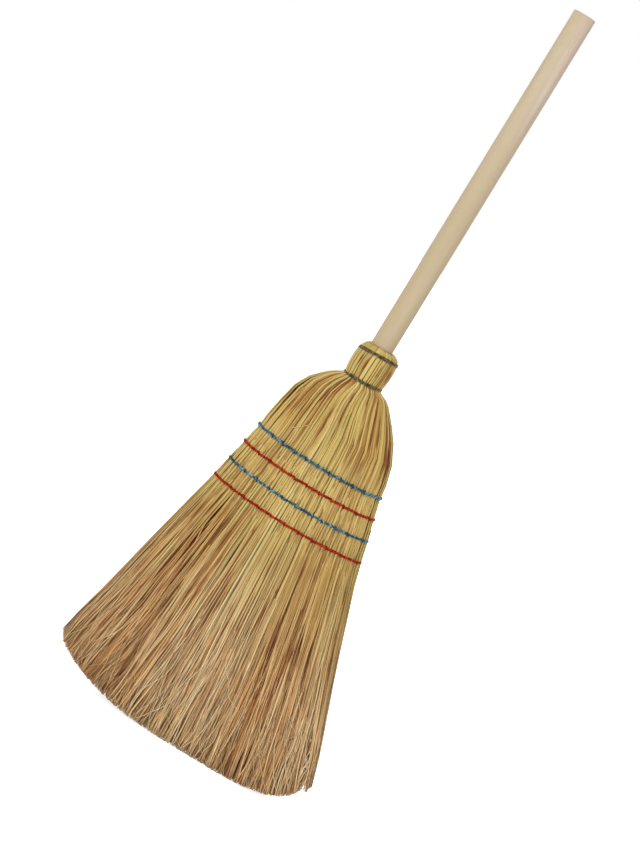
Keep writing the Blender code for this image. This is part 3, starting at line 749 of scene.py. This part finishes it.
hanks = []
for face, word in ((-1, "front"), (1, "back")):
    for i in range(hank_count):
        groups = hank_groups((face, 0, -1 + (2 * i + 1) / hank_count, 1 / hank_count), hank_counts)
        if word == "front" and i == 2:
            groups.append(askew_straw())
        piece = straw_piece(f"{word}_straw_{i + 1}", groups, hank_age[i * -face])
        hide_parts(f"{word}_hank_{i + 1}")
        hanks.append(piece)
for side, word in ((-1, "left"), (1, "right")):
    piece = straw_piece(f"side_straw_{word}", hank_groups((0, side, 0.0, 1.0), edge_counts))
    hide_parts(f"side_hank_{word}")
    hanks.append(piece)
print("straw pieces:", len(hanks), "with", sum(len(h.data.polygons) for h in hanks), "faces")

# %% [markdown]
# Inside the shoulder a short bundle of straw packs the room round the stick's point.
# It can hardly be seen, so it gets plain straight stalks only.

# %% The inner bundle
core_low, core_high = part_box("core_bundle")
point_radius = 5.5 * MM
inner_count = 70
inner_width = 2.6 * MM


def inner_stalks(count):
    """Straight stalks round the hidden point of the stick, in an oval that narrows."""
    angle = chance.uniform(0, 2 * math.pi, (count, 1))
    layer = chance.uniform(0.12, 0.92, (count, 1))
    t = np.linspace(0, 1, stalk_rings)[None]
    height = core_high.z - 0.5 * MM + (core_low.z - core_high.z + 1.0 * MM) * t
    stick = np.interp(t, (0, 1), (handle_radius / MM, point_radius / MM)) * MM
    half_x = np.interp(t, (0, 0.22, 0.45, 1), (15.0, 22.0, 29.0, 22.0)) * MM
    half_y = np.interp(t, (0, 0.45, 1), (14.6, 13.4, 8.6)) * MM
    lean = np.interp(t, (0, 1), (1.1, 5.2)) * MM
    x = axis_x + lean + np.cos(angle) * (stick + (half_x - stick) * layer)
    y = np.sin(angle) * (stick + (half_y - stick) * layer)
    path = np.stack([x, y, height + 0 * x], axis=-1)
    out = np.stack([np.cos(angle), np.sin(angle), 0 * angle], axis=-1) + 0 * path
    width = inner_width * chance.uniform(0.7, 1.1, (count, 1)) + 0 * t
    return bend(stalk_blank, path, out, width, width * 0.5, 0.2), tint(count, (0.3, 1.0), 0.5)


inner_bundle = straw_piece("inner_straw_bundle", [inner_stalks(inner_count)])
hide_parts("core_bundle")
print("inner bundle faces:", len(inner_bundle.data.polygons))

# %% [markdown]
# Materials come next. Colours are given as sRGB hex values, and a shader wants linear
# numbers, so one function turns them. Another adds a node with its settings and links,
# and that is all the machinery that the materials below need.

# %% Colour and node helpers
def linear(colour):
    """An sRGB hex colour as the linear numbers that a shader takes."""
    channels = [int(colour[i:i + 2], 16) / 255 for i in (0, 2, 4)]
    channels = [c / 12.92 if c <= 0.04045 else ((c + 0.055) / 1.055) ** 2.4 for c in channels]
    return (*channels, 1.0)


def new_material(name, roughness, metallic=0.0):
    """A new material and its shader."""
    material = bpy.data.materials.new(name)
    material.use_nodes = True
    shader = material.node_tree.nodes["Principled BSDF"]
    shader.inputs["Roughness"].default_value = roughness
    shader.inputs["Metallic"].default_value = metallic
    return material, shader


def add(owner, kind, inputs=None, settings=None, stops=None, to=None):
    """Add one node: its inputs, its settings, a ramp's stops and a link on.

    An input may be a value, a socket or a node, which gives its first output in use.
    """
    tree = owner.node_tree
    node = tree.nodes.new("ShaderNode" + kind)
    for key, value in (settings or {}).items():
        setattr(node, key, value)
    for key, value in (inputs or {}).items():
        if isinstance(value, bpy.types.Node):
            value = next(socket for socket in value.outputs if socket.enabled)
        if isinstance(value, bpy.types.NodeSocket):
            tree.links.new(value, node.inputs[key])
        else:
            node.inputs[key].default_value = value
    if stops:
        elements = node.color_ramp.elements
        while len(elements) < len(stops):
            elements.new(0.5)
        for element, (position, colour) in zip(elements, stops):
            element.position = position
            element.color = linear(colour)
    if to:
        tree.links.new(next(socket for socket in node.outputs if socket.enabled), to)
    return node


# Settings used many times: a Mix node that mixes colours, a Math node that multiplies.
colours = {"data_type": "RGBA"}
times = {"operation": "MULTIPLY"}
print("beech in linear numbers:", [round(v, 3) for v in linear("D3C09C")[:3]])

# %% [markdown]
# Dried sorghum straw, left as grown. The stalks are satin and yellow on the neck, some of
# them olive, and turn duller and pinker towards the tips. Between the seams the twine
# presses them flat: a paler band is painted there as light, with less stain and edge
# shade, and a darker band of painted shade lies below it, where the fibres crowd. The tint
# attribute tells straws apart. A ramp can take heights in metres as they are, because the
# broom is less than a metre tall.

# %% Material: dried straw, its colours
straw, shader = new_material("dried_straw", 0.55)
shader.inputs["Specular IOR Level"].default_value = 0.28
tints = add(straw, "Attribute", settings={"attribute_name": "straw_tint"}).outputs
parts = add(straw, "SeparateColor", {"Color": tints["Color"]}).outputs
where = add(straw, "TexCoord").outputs["Object"]
height = add(straw, "SeparateXYZ", {"Vector": where}).outputs["Z"]
upper = add(straw, "ValToRGB", {"Fac": parts["Red"]}, stops=(
    (0.0, "E4D48A"), (0.3, "DAC070"), (0.55, "CCAA5A"), (0.8, "B68A42"), (1.0, "825624")))
lower = add(straw, "ValToRGB", {"Fac": parts["Red"]}, stops=(
    (0.0, "FFEFC3"), (0.3, "FEDDA8"), (0.55, "F3C48A"), (0.8, "DDA567"), (1.0, "AC723E")))
olive = add(straw, "MapRange", {"Value": parts["Blue"], "From Min": 0.5, "To Max": 0.4})
greener = add(straw, "Mix", {"Factor": olive, "A": upper, "B": linear("A89E5C")}, colours)
down = add(straw, "MapRange", {"Value": height, "From Min": 0.25, "From Max": 0.09})
turned = add(straw, "Mix", {"Factor": down, "A": greener, "B": lower}, colours)
# A paler band between the seams: painted light on the flattened stalks.
painted_light_band = add(straw, "ValToRGB", {"Fac": height}, stops=(
    (0.225, "000000"), (0.252, "FFFFFF"), (0.322, "FFFFFF"), (0.36, "000000")))
painted_light_share = add(straw, "Math", {0: painted_light_band, 1: 0.35}, times)
painted_light_colour = add(straw, "Mix", {"Factor": painted_light_share, "A": turned, "B": linear("E8C882")}, colours)
# A darker band below the seams: painted shade where the fibres crowd.
painted_shade_band = add(straw, "ValToRGB", {"Fac": height}, stops=(
    (0.09, "000000"), (0.15, "FFFFFF"), (0.22, "FFFFFF"), (0.25, "000000")))
painted_shade_share = add(straw, "Math", {0: painted_shade_band, 1: 0.12}, times)
body = add(straw, "Mix", {"Factor": painted_shade_share, "A": painted_light_colour, "B": linear("8A5824")}, colours)
print("straw nodes for the colours:", len(straw.node_tree.nodes))

# %% [markdown]
# Fine grain, 0.4 mm wide and some centimetres long, runs along each stalk. The edges of
# each stalk, where it turns from the light and meets the next, get painted shade, browner,
# though less so where the twine presses the stalks flat. The UV map, in metres, runs
# along each straw.

# %% Material: dried straw, its grain and painted edge shade
along = add(straw, "UVMap", settings={"uv_map": "straw_uv"})
grain_place = add(straw, "Mapping", {"Vector": along, "Scale": (2400.0, 30.0, 1.0)})
grain = add(straw, "TexNoise", {
    "Vector": grain_place, "Scale": 1.0, "Detail": 4.0, "Roughness": 0.6}, {"noise_dimensions": "2D"})
shade = add(straw, "MapRange", {
    "Value": grain, "From Min": 0.3, "From Max": 0.7, "To Min": 0.82, "To Max": 1.08})
grained = add(straw, "Mix", {
    "Factor": 1.0, "A": body, "B": shade}, {**colours, "blend_type": "MULTIPLY"})
# Painted shade along the edges of each stalk, weaker between the seams.
painted_edge_shade = add(straw, "MapRange", {"Value": tints["Alpha"], "From Min": 0.5, "To Max": 0.72})
faint = add(straw, "MapRange", {"Value": painted_light_band, "To Min": 1.0, "To Max": 0.45})
edge_shade_share = add(straw, "Math", {0: painted_edge_shade, 1: faint}, times)
edge_shaded_colour = add(straw, "Mix", {"Factor": edge_shade_share, "A": grained, "B": linear("7E4F22")}, colours)
add(straw, "Bump", {"Height": grain, "Strength": 0.3, "Distance": 0.2 * MM}, to=shader.inputs["Normal"])
print("straw nodes with the grain:", len(straw.node_tree.nodes))

# %% [markdown]
# Some straws have red-brown weathered stretches a few centimetres long. A slow noise
# along the straw is added to the redness that the straw and the streaks have given it,
# and where the sum is high enough the straw is stained.

# %% Material: dried straw, its weathering
patch_place = add(straw, "Mapping", {"Vector": along, "Scale": (70.0, 16.0, 1.0)})
patch = add(straw, "TexNoise", {
    "Vector": patch_place, "Scale": 1.0, "Detail": 3.0}, {"noise_dimensions": "2D"})
patches = add(straw, "MapRange", {"Value": patch, "From Min": 0.25, "From Max": 0.75, "To Max": 0.8})
weather = add(straw, "Math", {0: parts["Green"], 1: 0.6, 2: patches}, {"operation": "MULTIPLY_ADD"})
red = add(straw, "MapRange", {"Value": weather, "From Min": 0.66, "From Max": 1.05, "To Max": 0.95})
stain = add(straw, "ValToRGB", {"Fac": red}, stops=((0.1, "C49450"), (0.4, "A86832"), (0.8, "7C4018")))
stained = add(straw, "Math", {0: red, 1: faint}, times)
add(straw, "Mix", {"Factor": stained, "A": edge_shaded_colour, "B": stain}, colours, to=shader.inputs["Base Color"])


def dress(piece, material):
    """Give a piece its material and the body that it belongs to."""
    piece.data.materials.clear()
    piece.data.materials.append(material)
    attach(piece, "root")


for index, piece in enumerate(hanks):
    dress(piece, straw)
dress(inner_bundle, straw)
print("straw nodes:", len(straw.node_tree.nodes))

# %% [markdown]
# The stick is turned beech, sawn off square and only lightly sanded. A cylinder gives
# it; its top rim is bevelled as sandpaper leaves it, and its foot is drawn to the point
# that the straw hides.

# %% The handle
handle_top = cad_high.z
visible_foot = throat_z
rim_bevel = 0.6 * MM
bpy.ops.object.select_all(action="DESELECT")
bpy.ops.mesh.primitive_cylinder_add(
    vertices=96, radius=handle_radius, depth=handle_top - visible_foot,
    location=(axis_x, 0.0, (handle_top + visible_foot) / 2))
handle = bpy.context.object
handle.name = handle.data.name = "turned_handle"
bpy.ops.object.transform_apply(location=True, rotation=False, scale=False)
deselected("FACE")
for face in handle.data.polygons:
    face.select = face.normal.z < -0.9
bpy.ops.object.mode_set(mode="EDIT")
bpy.ops.mesh.extrude_region_move(
    TRANSFORM_OT_translate={"value": (0, 0, handle_low.z - visible_foot)})
bpy.ops.transform.resize(
    value=(point_radius / handle_radius, point_radius / handle_radius, 1),
    center_override=(axis_x, 0, handle_low.z))
bpy.ops.object.mode_set(mode="OBJECT")
bevel = handle.modifiers.new("Sanded rim", "BEVEL")
bevel.width = rim_bevel
bevel.segments = 3
bevel.limit_method = "ANGLE"
bevel.angle_limit = math.radians(60)
bpy.ops.object.modifier_apply(modifier=bevel.name)
bpy.ops.object.shade_smooth_by_angle(angle=math.radians(40))
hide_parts("handle")
print("handle faces:", len(handle.data.polygons))

# %% [markdown]
# Beech is pale and a little pink. Its grain is soft, with short darker flecks about
# 0.6 mm wide and 8 mm long, and broad bands about a centimetre wide and 20 cm long from
# the way the stick lay in the plank. The sawn end shows the year rings as arcs 2 to 3 mm
# apart. The lower part is drawn a little darker, and a thin brown line where the straw
# begins is partly dust and sap and partly painted shade under the butts.

# %% Material: beech
beech, shader = new_material("turned_beech", 0.58)
shader.inputs["Specular IOR Level"].default_value = 0.2
where = add(beech, "TexCoord").outputs["Object"]
height = add(beech, "SeparateXYZ", {"Vector": where}).outputs["Z"]
band_place = add(beech, "Mapping", {"Vector": where, "Scale": (90.0, 90.0, 5.0)})
band = add(beech, "TexNoise", {"Vector": band_place, "Scale": 1.0, "Detail": 3.0})
bands = add(beech, "ValToRGB", {"Fac": band}, stops=(
    (0.25, "BFA988"), (0.42, "CDBC9E"), (0.55, "CFB9A5"), (0.75, "D9CBB4")))
fleck_place = add(beech, "Mapping", {"Vector": where, "Scale": (1700.0, 1700.0, 120.0)})
fleck = add(beech, "TexNoise", {"Vector": fleck_place, "Scale": 1.0, "Detail": 3.0, "Roughness": 0.65})
ring_place = add(beech, "Mapping", {
    "Vector": where, "Location": (0.032, 0.03, 0.0), "Scale": (1.0, 1.0, 0.0)})
rings = add(beech, "TexWave", {
    "Vector": ring_place, "Scale": 130.0, "Distortion": 1.5, "Detail": 2.0},
    {"wave_type": "RINGS", "rings_direction": "Z"})
end_grain = add(beech, "ValToRGB", {"Fac": rings.outputs["Fac"]}, stops=(
    (0.0, "B4946A"), (1.0, "D8C29C")))
sawn = add(beech, "MapRange", {
    "Value": height, "From Min": handle_top - 0.25 * MM, "From Max": handle_top - 0.05 * MM})
wood = bands
# What darkens the wood: flecks, a darker lower part, and a thin line at its foot that is
# dust and sap and painted shade under the butts. Each has the value that it follows,
# where that starts and ends, how much it covers, and its colour.
for value, start, end, most, darker in (
        (fleck, 0.56, 0.72, 0.35, "A88458"),
        (height, butts_z + 300 * MM, butts_z + 150 * MM, 0.65, "C3B089"),
        (height, butts_z + 1.3 * MM, butts_z + 0.1 * MM, 0.8, "80501F")):
    cover = add(beech, "MapRange", {"Value": value, "From Min": start, "From Max": end, "To Max": most})
    wood = add(beech, "Mix", {"Factor": cover, "A": wood, "B": linear(darker)}, colours)
add(beech, "Mix", {
    "Factor": sawn, "A": wood, "B": end_grain}, colours, to=shader.inputs["Base Color"])
add(beech, "Bump", {
    "Height": fleck, "Strength": 0.15, "Distance": 0.15 * MM}, to=shader.inputs["Normal"])
dress(handle, beech)
print("beech nodes:", len(beech.node_tree.nodes))

# %% [markdown]
# Wire and twine are long round things that go round the head. A circle could be spun for
# a plain ring, but these wander and overlap. A curve with a round bevel takes any path:
# points, a thickness, and the convert operator turns it into a mesh. The points come from
# the head's own outline, so that each winding lies on the straw.

# %% Round lengths along a path
def wound(name, path, diameter, resolution):
    """A round length along a path of points, as a mesh with closed ends."""
    curve = bpy.data.curves.new(name, "CURVE")
    curve.dimensions = "3D"
    curve.bevel_depth = diameter / 2
    curve.bevel_resolution = resolution
    curve.use_fill_caps = True
    spline = curve.splines.new("POLY")
    spline.points.add(len(path) - 1)
    spline.points.foreach_set("co", np.column_stack([path, np.ones(len(path))]).ravel())
    thing = bpy.data.objects.new(name, curve)
    scene.collection.objects.link(thing)
    bpy.ops.object.select_all(action="DESELECT")
    thing.select_set(True)
    bpy.context.view_layer.objects.active = thing
    bpy.ops.object.convert(target="MESH")
    thing = bpy.context.object
    bpy.ops.object.shade_smooth()
    return thing


def joined(name, things):
    """Several pieces made one."""
    bpy.ops.object.select_all(action="DESELECT")
    for thing in things:
        thing.select_set(True)
    bpy.context.view_layer.objects.active = things[0]
    bpy.ops.object.join()
    things[0].name = things[0].data.name = name
    return things[0]


print("two ways to make a winding:", wound.__name__, "and", joined.__name__)

# %% [markdown]
# The binding wire is wound tight round the neck, its turns almost touching, and its two
# ends are pushed into the straw on the back. On the real broom the collar winding sits a
# little askew, lower on the left, and no turn lies quite even.

# %% The two windings of wire
wire_diameter = 1.15 * MM
wire_pitch = 1.22 * MM
wire_lift, wire_play = 0.3 * MM, 0.12 * MM
turn_points = 72
tucked_points, tuck_depth = 3, 3.0 * MM


def winding(name, height, turns, tilt, lean):
    """Turns of wire round the neck, raised on the right by tilt, in front by lean."""
    count = int(turn_points * turns)
    t = np.linspace(0, 1, count + 1)
    angle = math.pi * (1.5 - turns % 1) + 2 * math.pi * turns * t
    z = height + (0.5 - t) * turns * wire_pitch
    centre, half_width, deep, _ = section(z)
    ends = (0, tucked_points, count - tucked_points, count)
    tuck = np.interp(t * count, ends, (1, 0, 0, 1)) * tuck_depth
    off = wire_lift + wire_play * np.sin(7 * angle) * np.sin(3.3 * angle) - tuck
    path = np.column_stack([
        centre + (half_width + off) * np.cos(angle), (deep + off) * np.sin(angle),
        z + tilt * np.cos(angle) - lean * np.sin(angle) + wire_play * np.sin(5 * angle + 11 * t)])
    return wound(name, path, wire_diameter, 2)


collar = winding("collar_winding", collar_z, 2.7, 1.2 * MM, 1.8 * MM)
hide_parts("collar_wire")
throat = winding("throat_winding", throat_z + 2.1 * MM, 2.3, 0.6 * MM, -0.7 * MM)
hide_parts("throat_wire")
print("wire faces:", len(collar.data.polygons) + len(throat.data.polygons))

# %% [markdown]
# Soft annealed steel wire: drawn, then blackened by heat, with a thin dull oxide and a
# few rubbed bright spots about a millimetre long. One noise drives both colour and
# roughness, because a bright spot is also a smooth one. The nails on the back are of the
# same family, only cleaner, and keep the model's own shape.

# %% Material: annealed wire and nails
def steel(name, dark, light, roughness):
    """Steel that is light and smooth where it is rubbed, dark and dull elsewhere."""
    material, shader = new_material(name, roughness, 0.75)
    where = add(material, "TexCoord").outputs["Object"]
    rust = add(material, "TexNoise", {"Vector": where, "Scale": 420.0, "Detail": 4.0})
    add(material, "ValToRGB", {"Fac": rust}, stops=(
        (0.38, dark), (0.62, light)), to=shader.inputs["Base Color"])
    add(material, "MapRange", {
        "Value": rust, "From Min": 0.3, "From Max": 0.7, "To Min": roughness + 0.15,
        "To Max": roughness - 0.1}, to=shader.inputs["Roughness"])
    return material


wire_steel = steel("annealed_wire", "423822", "807250", 0.5)
nail_steel = steel("nail_steel", "5E5850", "8C867C", 0.38)
for piece in (collar, throat):
    dress(piece, wire_steel)
for name in ("upper_nail", "lower_nail"):
    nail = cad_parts[name]
    nail.data.materials.clear()
    nail.data.materials.append(nail_steel)
print("steel finishes:", wire_steel.name, "and", nail_steel.name)

# %% [markdown]
# Each seam is one round of twine, laid from two twisted strands, with its end lapped
# over its start on the left edge. Between two stitches it runs slightly askew, which
# gives the row its stepped look. Both strands follow the same path, half a turn apart.
# The red strands are a little thicker than the blue ones.

# %% Paths round the sewn head
loop_step = 0.8 * MM
loop_points = 1600
loop_start, loop_end = 0.88 * math.pi, 2.96 * math.pi
dent_depth, dent_width = 0.3 * MM, 0.09


def along_path(points, step):
    """The same path with points at even steps."""
    length = np.append(0, np.linalg.norm(np.diff(points, axis=0), axis=1).cumsum())
    even = np.linspace(0, length[-1], int(length[-1] / step) + 1)
    return np.column_stack([np.interp(even, length, column) for column in points.T]), even


def seam_point(z, across, face, off, rise):
    """A point outside the straw at a seam's own height."""
    height = seam_line(z, face, across)
    centre, half_width, deep, _ = section(height)
    return np.array([centre + across * half_width,
                     face * (deep * bulge(across) - groove_depth + off), height + rise])


def seam_loop(z, off):
    """The twine's middle line: round from the left, over the front first, with a lap."""
    angle = np.linspace(loop_start, loop_end, loop_points)
    across = signed_power(np.cos(angle), 2 / squareness)
    deep_share = signed_power(np.sin(angle), 2 / squareness)
    height = z - seam_sag[z] * (1.0 - across ** 2)
    centre, half_width, deep, _ = section(height)
    turn = (angle - math.pi) / (2 * math.pi)
    stitch = (across / front_share + 1) / 2 * hank_count
    inside = np.abs(across) < front_share
    # Between two stitches the twine slants by 0.35 to 1.25 mm, as a sine scatters it.
    slant = 0.8 + 0.45 * np.sin(2.3 * np.floor(stitch) + 900.0 * z)
    askew = (stitch - np.floor(stitch) - 0.5) * slant * MM * inside
    dent = np.exp(-((stitch - np.rint(stitch)) / dent_width) ** 2) * dent_depth * inside
    reach = off - groove_depth - dent
    return np.column_stack([
        centre + across * (half_width + reach), deep_share * (deep + reach),
        height + askew - twine_lap * (turn - 0.5)])


print("points along a middle line:", loop_points)

# %% The rows of twine
blue_strand, red_strand = 1.7 * MM, 1.75 * MM
strand_pitch = 5.6 * MM
strand_apart = 0.42
twine_lift = 1.6 * MM


def laid_twine(row, z):
    """Two strands twisted round the middle line of a seam."""
    strand_diameter = blue_strand if row % 2 else red_strand
    path, even = along_path(seam_loop(z, twine_lift), loop_step)
    forward = unit(np.gradient(path, axis=0))
    out = unit(np.cross(forward, (0.0, 0.0, 1.0)))
    up = np.cross(out, forward)
    strands = []
    for half in (0, 1):
        turn = (2 * math.pi * even / strand_pitch + math.pi * half)[:, None]
        strand = path + (out * np.cos(turn) + up * np.sin(turn)) * strand_diameter * strand_apart
        strands.append(wound(f"strand_{row}_{half}", strand, strand_diameter, 1))
    return joined(f"laid_twine_{row}", strands)


twines = []
for row, z in enumerate(seam_z, start=1):
    twine = laid_twine(row, z)
    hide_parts(f"seam_twine_{row}")
    twines.append(twine)
print("twine faces:", sum(len(twine.data.polygons) for twine in twines))

# %% [markdown]
# A thread locks each row. It comes out of a gap between two hanks just above the twine,
# goes over it and back in just below, so the front shows a row of short ticks. On the
# back it runs on to the next gap. The path is a chain of corners, evened and smoothed so
# that the thread bends instead of kinking.

# %% The stitches
thread_diameter = 1.1 * MM
corner_step, thread_step = 0.35 * MM, 0.6 * MM
soft_points = 5


def stitch_path(z):
    """The thread of one row, from the first gap between two hanks to the last."""
    # Places above and below the twine, outside it and in the straw, and a tick's slant.
    above, below, over, inside, skip = 2.0 * MM, -2.9 * MM, 3.2 * MM, -0.6 * MM, 0.4 * MM
    gaps = [np.array((-1 + 2 * i / hank_count) * front_share) for i in range(1, hank_count)]
    corners = []
    for across, beside in zip(gaps, gaps[1:] + [None]):
        corners += [
            seam_point(z, across, 1, inside, above), seam_point(z, across, -1, inside, above),
            seam_point(z, across, -1, over, above * 0.55) + (-skip, 0, 0),
            seam_point(z, across, -1, over, below * 0.55) + (skip, 0, 0),
            seam_point(z, across, -1, inside, below), seam_point(z, across, 1, inside, below),
            seam_point(z, across, 1, over * 0.8, below * 0.8),
        ]
        if beside is not None:
            corners.append(seam_point(z, beside, 1, over * 0.8, above * 0.8))
    even, _ = along_path(np.array(corners), corner_step)
    soft = np.column_stack([softened(column, soft_points) for column in even.T])
    return along_path(soft, thread_step)[0]


threads = []
for row, z in enumerate(seam_z, start=1):
    thread = wound(f"lock_thread_{row}", stitch_path(z), thread_diameter, 1)
    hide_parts(f"seam_stitch_{row}")
    threads.append(thread)
print("thread faces:", sum(len(thread.data.polygons) for thread in threads))

# %% [markdown]
# The twine is split polypropylene film, twisted: each strand is a narrow folded ribbon,
# whose flashes of light and dark every few millimetres are painted into its colour as
# highlight and shade. The locking thread is the same, thinner and darker. Object
# coordinates are enough for flecks of about 3 mm.

# %% Material: twisted film twine
def film_twine(name, shades):
    """Folded film in four shades, from dark to light: painted shade and highlight of the folds."""
    material, shader = new_material(name, 0.6)
    shader.inputs["Specular IOR Level"].default_value = 0.12
    where = add(material, "TexCoord").outputs["Object"]
    painted_fold_flash = add(material, "TexNoise", {"Vector": where, "Scale": 310.0, "Detail": 3.0, "Roughness": 0.7})
    stops = tuple(zip((0.36, 0.47, 0.56, 0.66), shades))
    add(material, "ValToRGB", {"Fac": painted_fold_flash}, stops=stops, to=shader.inputs["Base Color"])
    split = add(material, "TexNoise", {"Vector": where, "Scale": 1800.0, "Detail": 2.0})
    add(material, "Bump", {
        "Height": split, "Strength": 0.4, "Distance": 0.2 * MM}, to=shader.inputs["Normal"])
    return material


blue_film = film_twine("blue_film_twine", ("243A4C", "345A70", "4E879E", "92C0CA"))
red_film = film_twine("red_film_twine", ("6E1206", "98200C", "B42E12", "C85028"))
blue_lock = film_twine("blue_lock_thread", ("1A2A3A", "263F54", "345C76", "5E94AC"))
red_lock = film_twine("red_lock_thread", ("560C05", "781409", "921E0E", "AC3A20"))
row_colours = (("blue", blue_film, blue_lock), ("red", red_film, red_lock)) * 2
for twine, thread, (word, film, lock) in zip(twines, threads, row_colours):
    dress(twine, film)
    dress(thread, lock)
print("last film finish:", red_lock.name)

# %% [markdown]
# The broom stands in a plain white studio. Large soft lamps keep the light even, the
# strongest from the upper left. What looks straight at the world or the floor, as the
# camera and a reflection do, sees white. The straw itself is lit less by them, and the
# floor keeps the object's shadow, because only a part of its light is glow.

# %% Lamps and world
def straight_look(owner):
    """1 for rays from the camera, a reflection or a clear piece, 0 for all others."""
    rays = add(owner, "LightPath")
    seen = rays.outputs["Is Camera Ray"]
    for other in ("Is Glossy Ray", "Is Transmission Ray"):
        seen = add(owner, "Math", {0: seen, 1: rays.outputs[other]}, {"operation": "MAXIMUM"})
    return seen


# Each lamp's name, size in metres, power in watts and place.
lamps = (
    ("key", 1.5, 39.0, (-1.35, -2.45, 1.9)), ("fill", 2.0, 12.0, (2.2, -1.9, 1.1)),
    ("back", 1.6, 19.0, (0.5, 2.5, 1.7)))
lit_middle = Vector((axis_x, 0.0, 0.35))
for name, size, power, place in lamps:
    light = bpy.data.lights.new(name, "AREA")
    light.size = size
    light.energy = power
    lamp = bpy.data.objects.new(name, light)
    scene.collection.objects.link(lamp)
    lamp.location = place
    lamp.rotation_euler = (lit_middle - Vector(place)).to_track_quat("-Z", "Y").to_euler()
world = bpy.data.worlds.new("white_studio")
scene.world = world
world.use_nodes = True
background = world.node_tree.nodes["Background"]
background.inputs["Color"].default_value = (1, 1, 1, 1)
add(world, "MapRange", {
    "Value": straight_look(world), "To Min": 0.55, "To Max": 1.0}, to=background.inputs["Strength"])

# %% The white floor
bpy.ops.object.select_all(action="DESELECT")
bpy.ops.mesh.primitive_plane_add(size=40.0, location=(0, 0, 0))
floor = bpy.context.object
floor.name = floor.data.name = "studio_floor"
paper, shader = new_material("white_paper", 0.9)
shader.inputs["Base Color"].default_value = linear("F2F2F0")
share = add(paper, "Math", {0: straight_look(paper), 1: 0.8}, times)
glow = add(paper, "Emission", {"Color": (1, 1, 1, 1), "Strength": share})
add(paper, "AddShader", {
    0: shader.outputs["BSDF"], 1: glow}, to=paper.node_tree.nodes["Material Output"].inputs["Surface"])
floor.data.materials.append(paper)
print("floor:", floor.name)

# %% [markdown]
# The camera looks a few degrees down on the front and is rolled, so that the upright
# broom leans across the picture as it does in the photograph. The broom could be turned
# instead, but the model stays where it was packed. The lens follows from the height of
# the picture at the broom: 852 pixels at a millimetre each.

# %% The camera
camera_distance = 2.5
camera_elevation = math.radians(6.0)
camera_roll = math.radians(31.42)
picture_height = 852 * MM
# The middle of the picture lies left of the stick and below the butts by this much.
aim_left, aim_down = 12.0 * MM, 98.2 * MM
aim = Vector((axis_x - aim_left, 0.0, butts_z - aim_down))
lens = bpy.data.cameras.new("camera")
lens.sensor_width = 36.0
lens.lens = lens.sensor_width * camera_distance / picture_height
camera = bpy.data.objects.new("camera", lens)
scene.collection.objects.link(camera)
camera.location = aim + camera_distance * Vector(
    (0, -math.cos(camera_elevation), math.sin(camera_elevation)))
camera.rotation_euler = (
    Matrix.Rotation(math.pi / 2 - camera_elevation, 4, "X")
    @ Matrix.Rotation(camera_roll, 4, "Z")).to_euler()
scene.camera = camera
scene.view_settings.view_transform = "Standard"
print("lens:", round(lens.lens, 1), "mm")
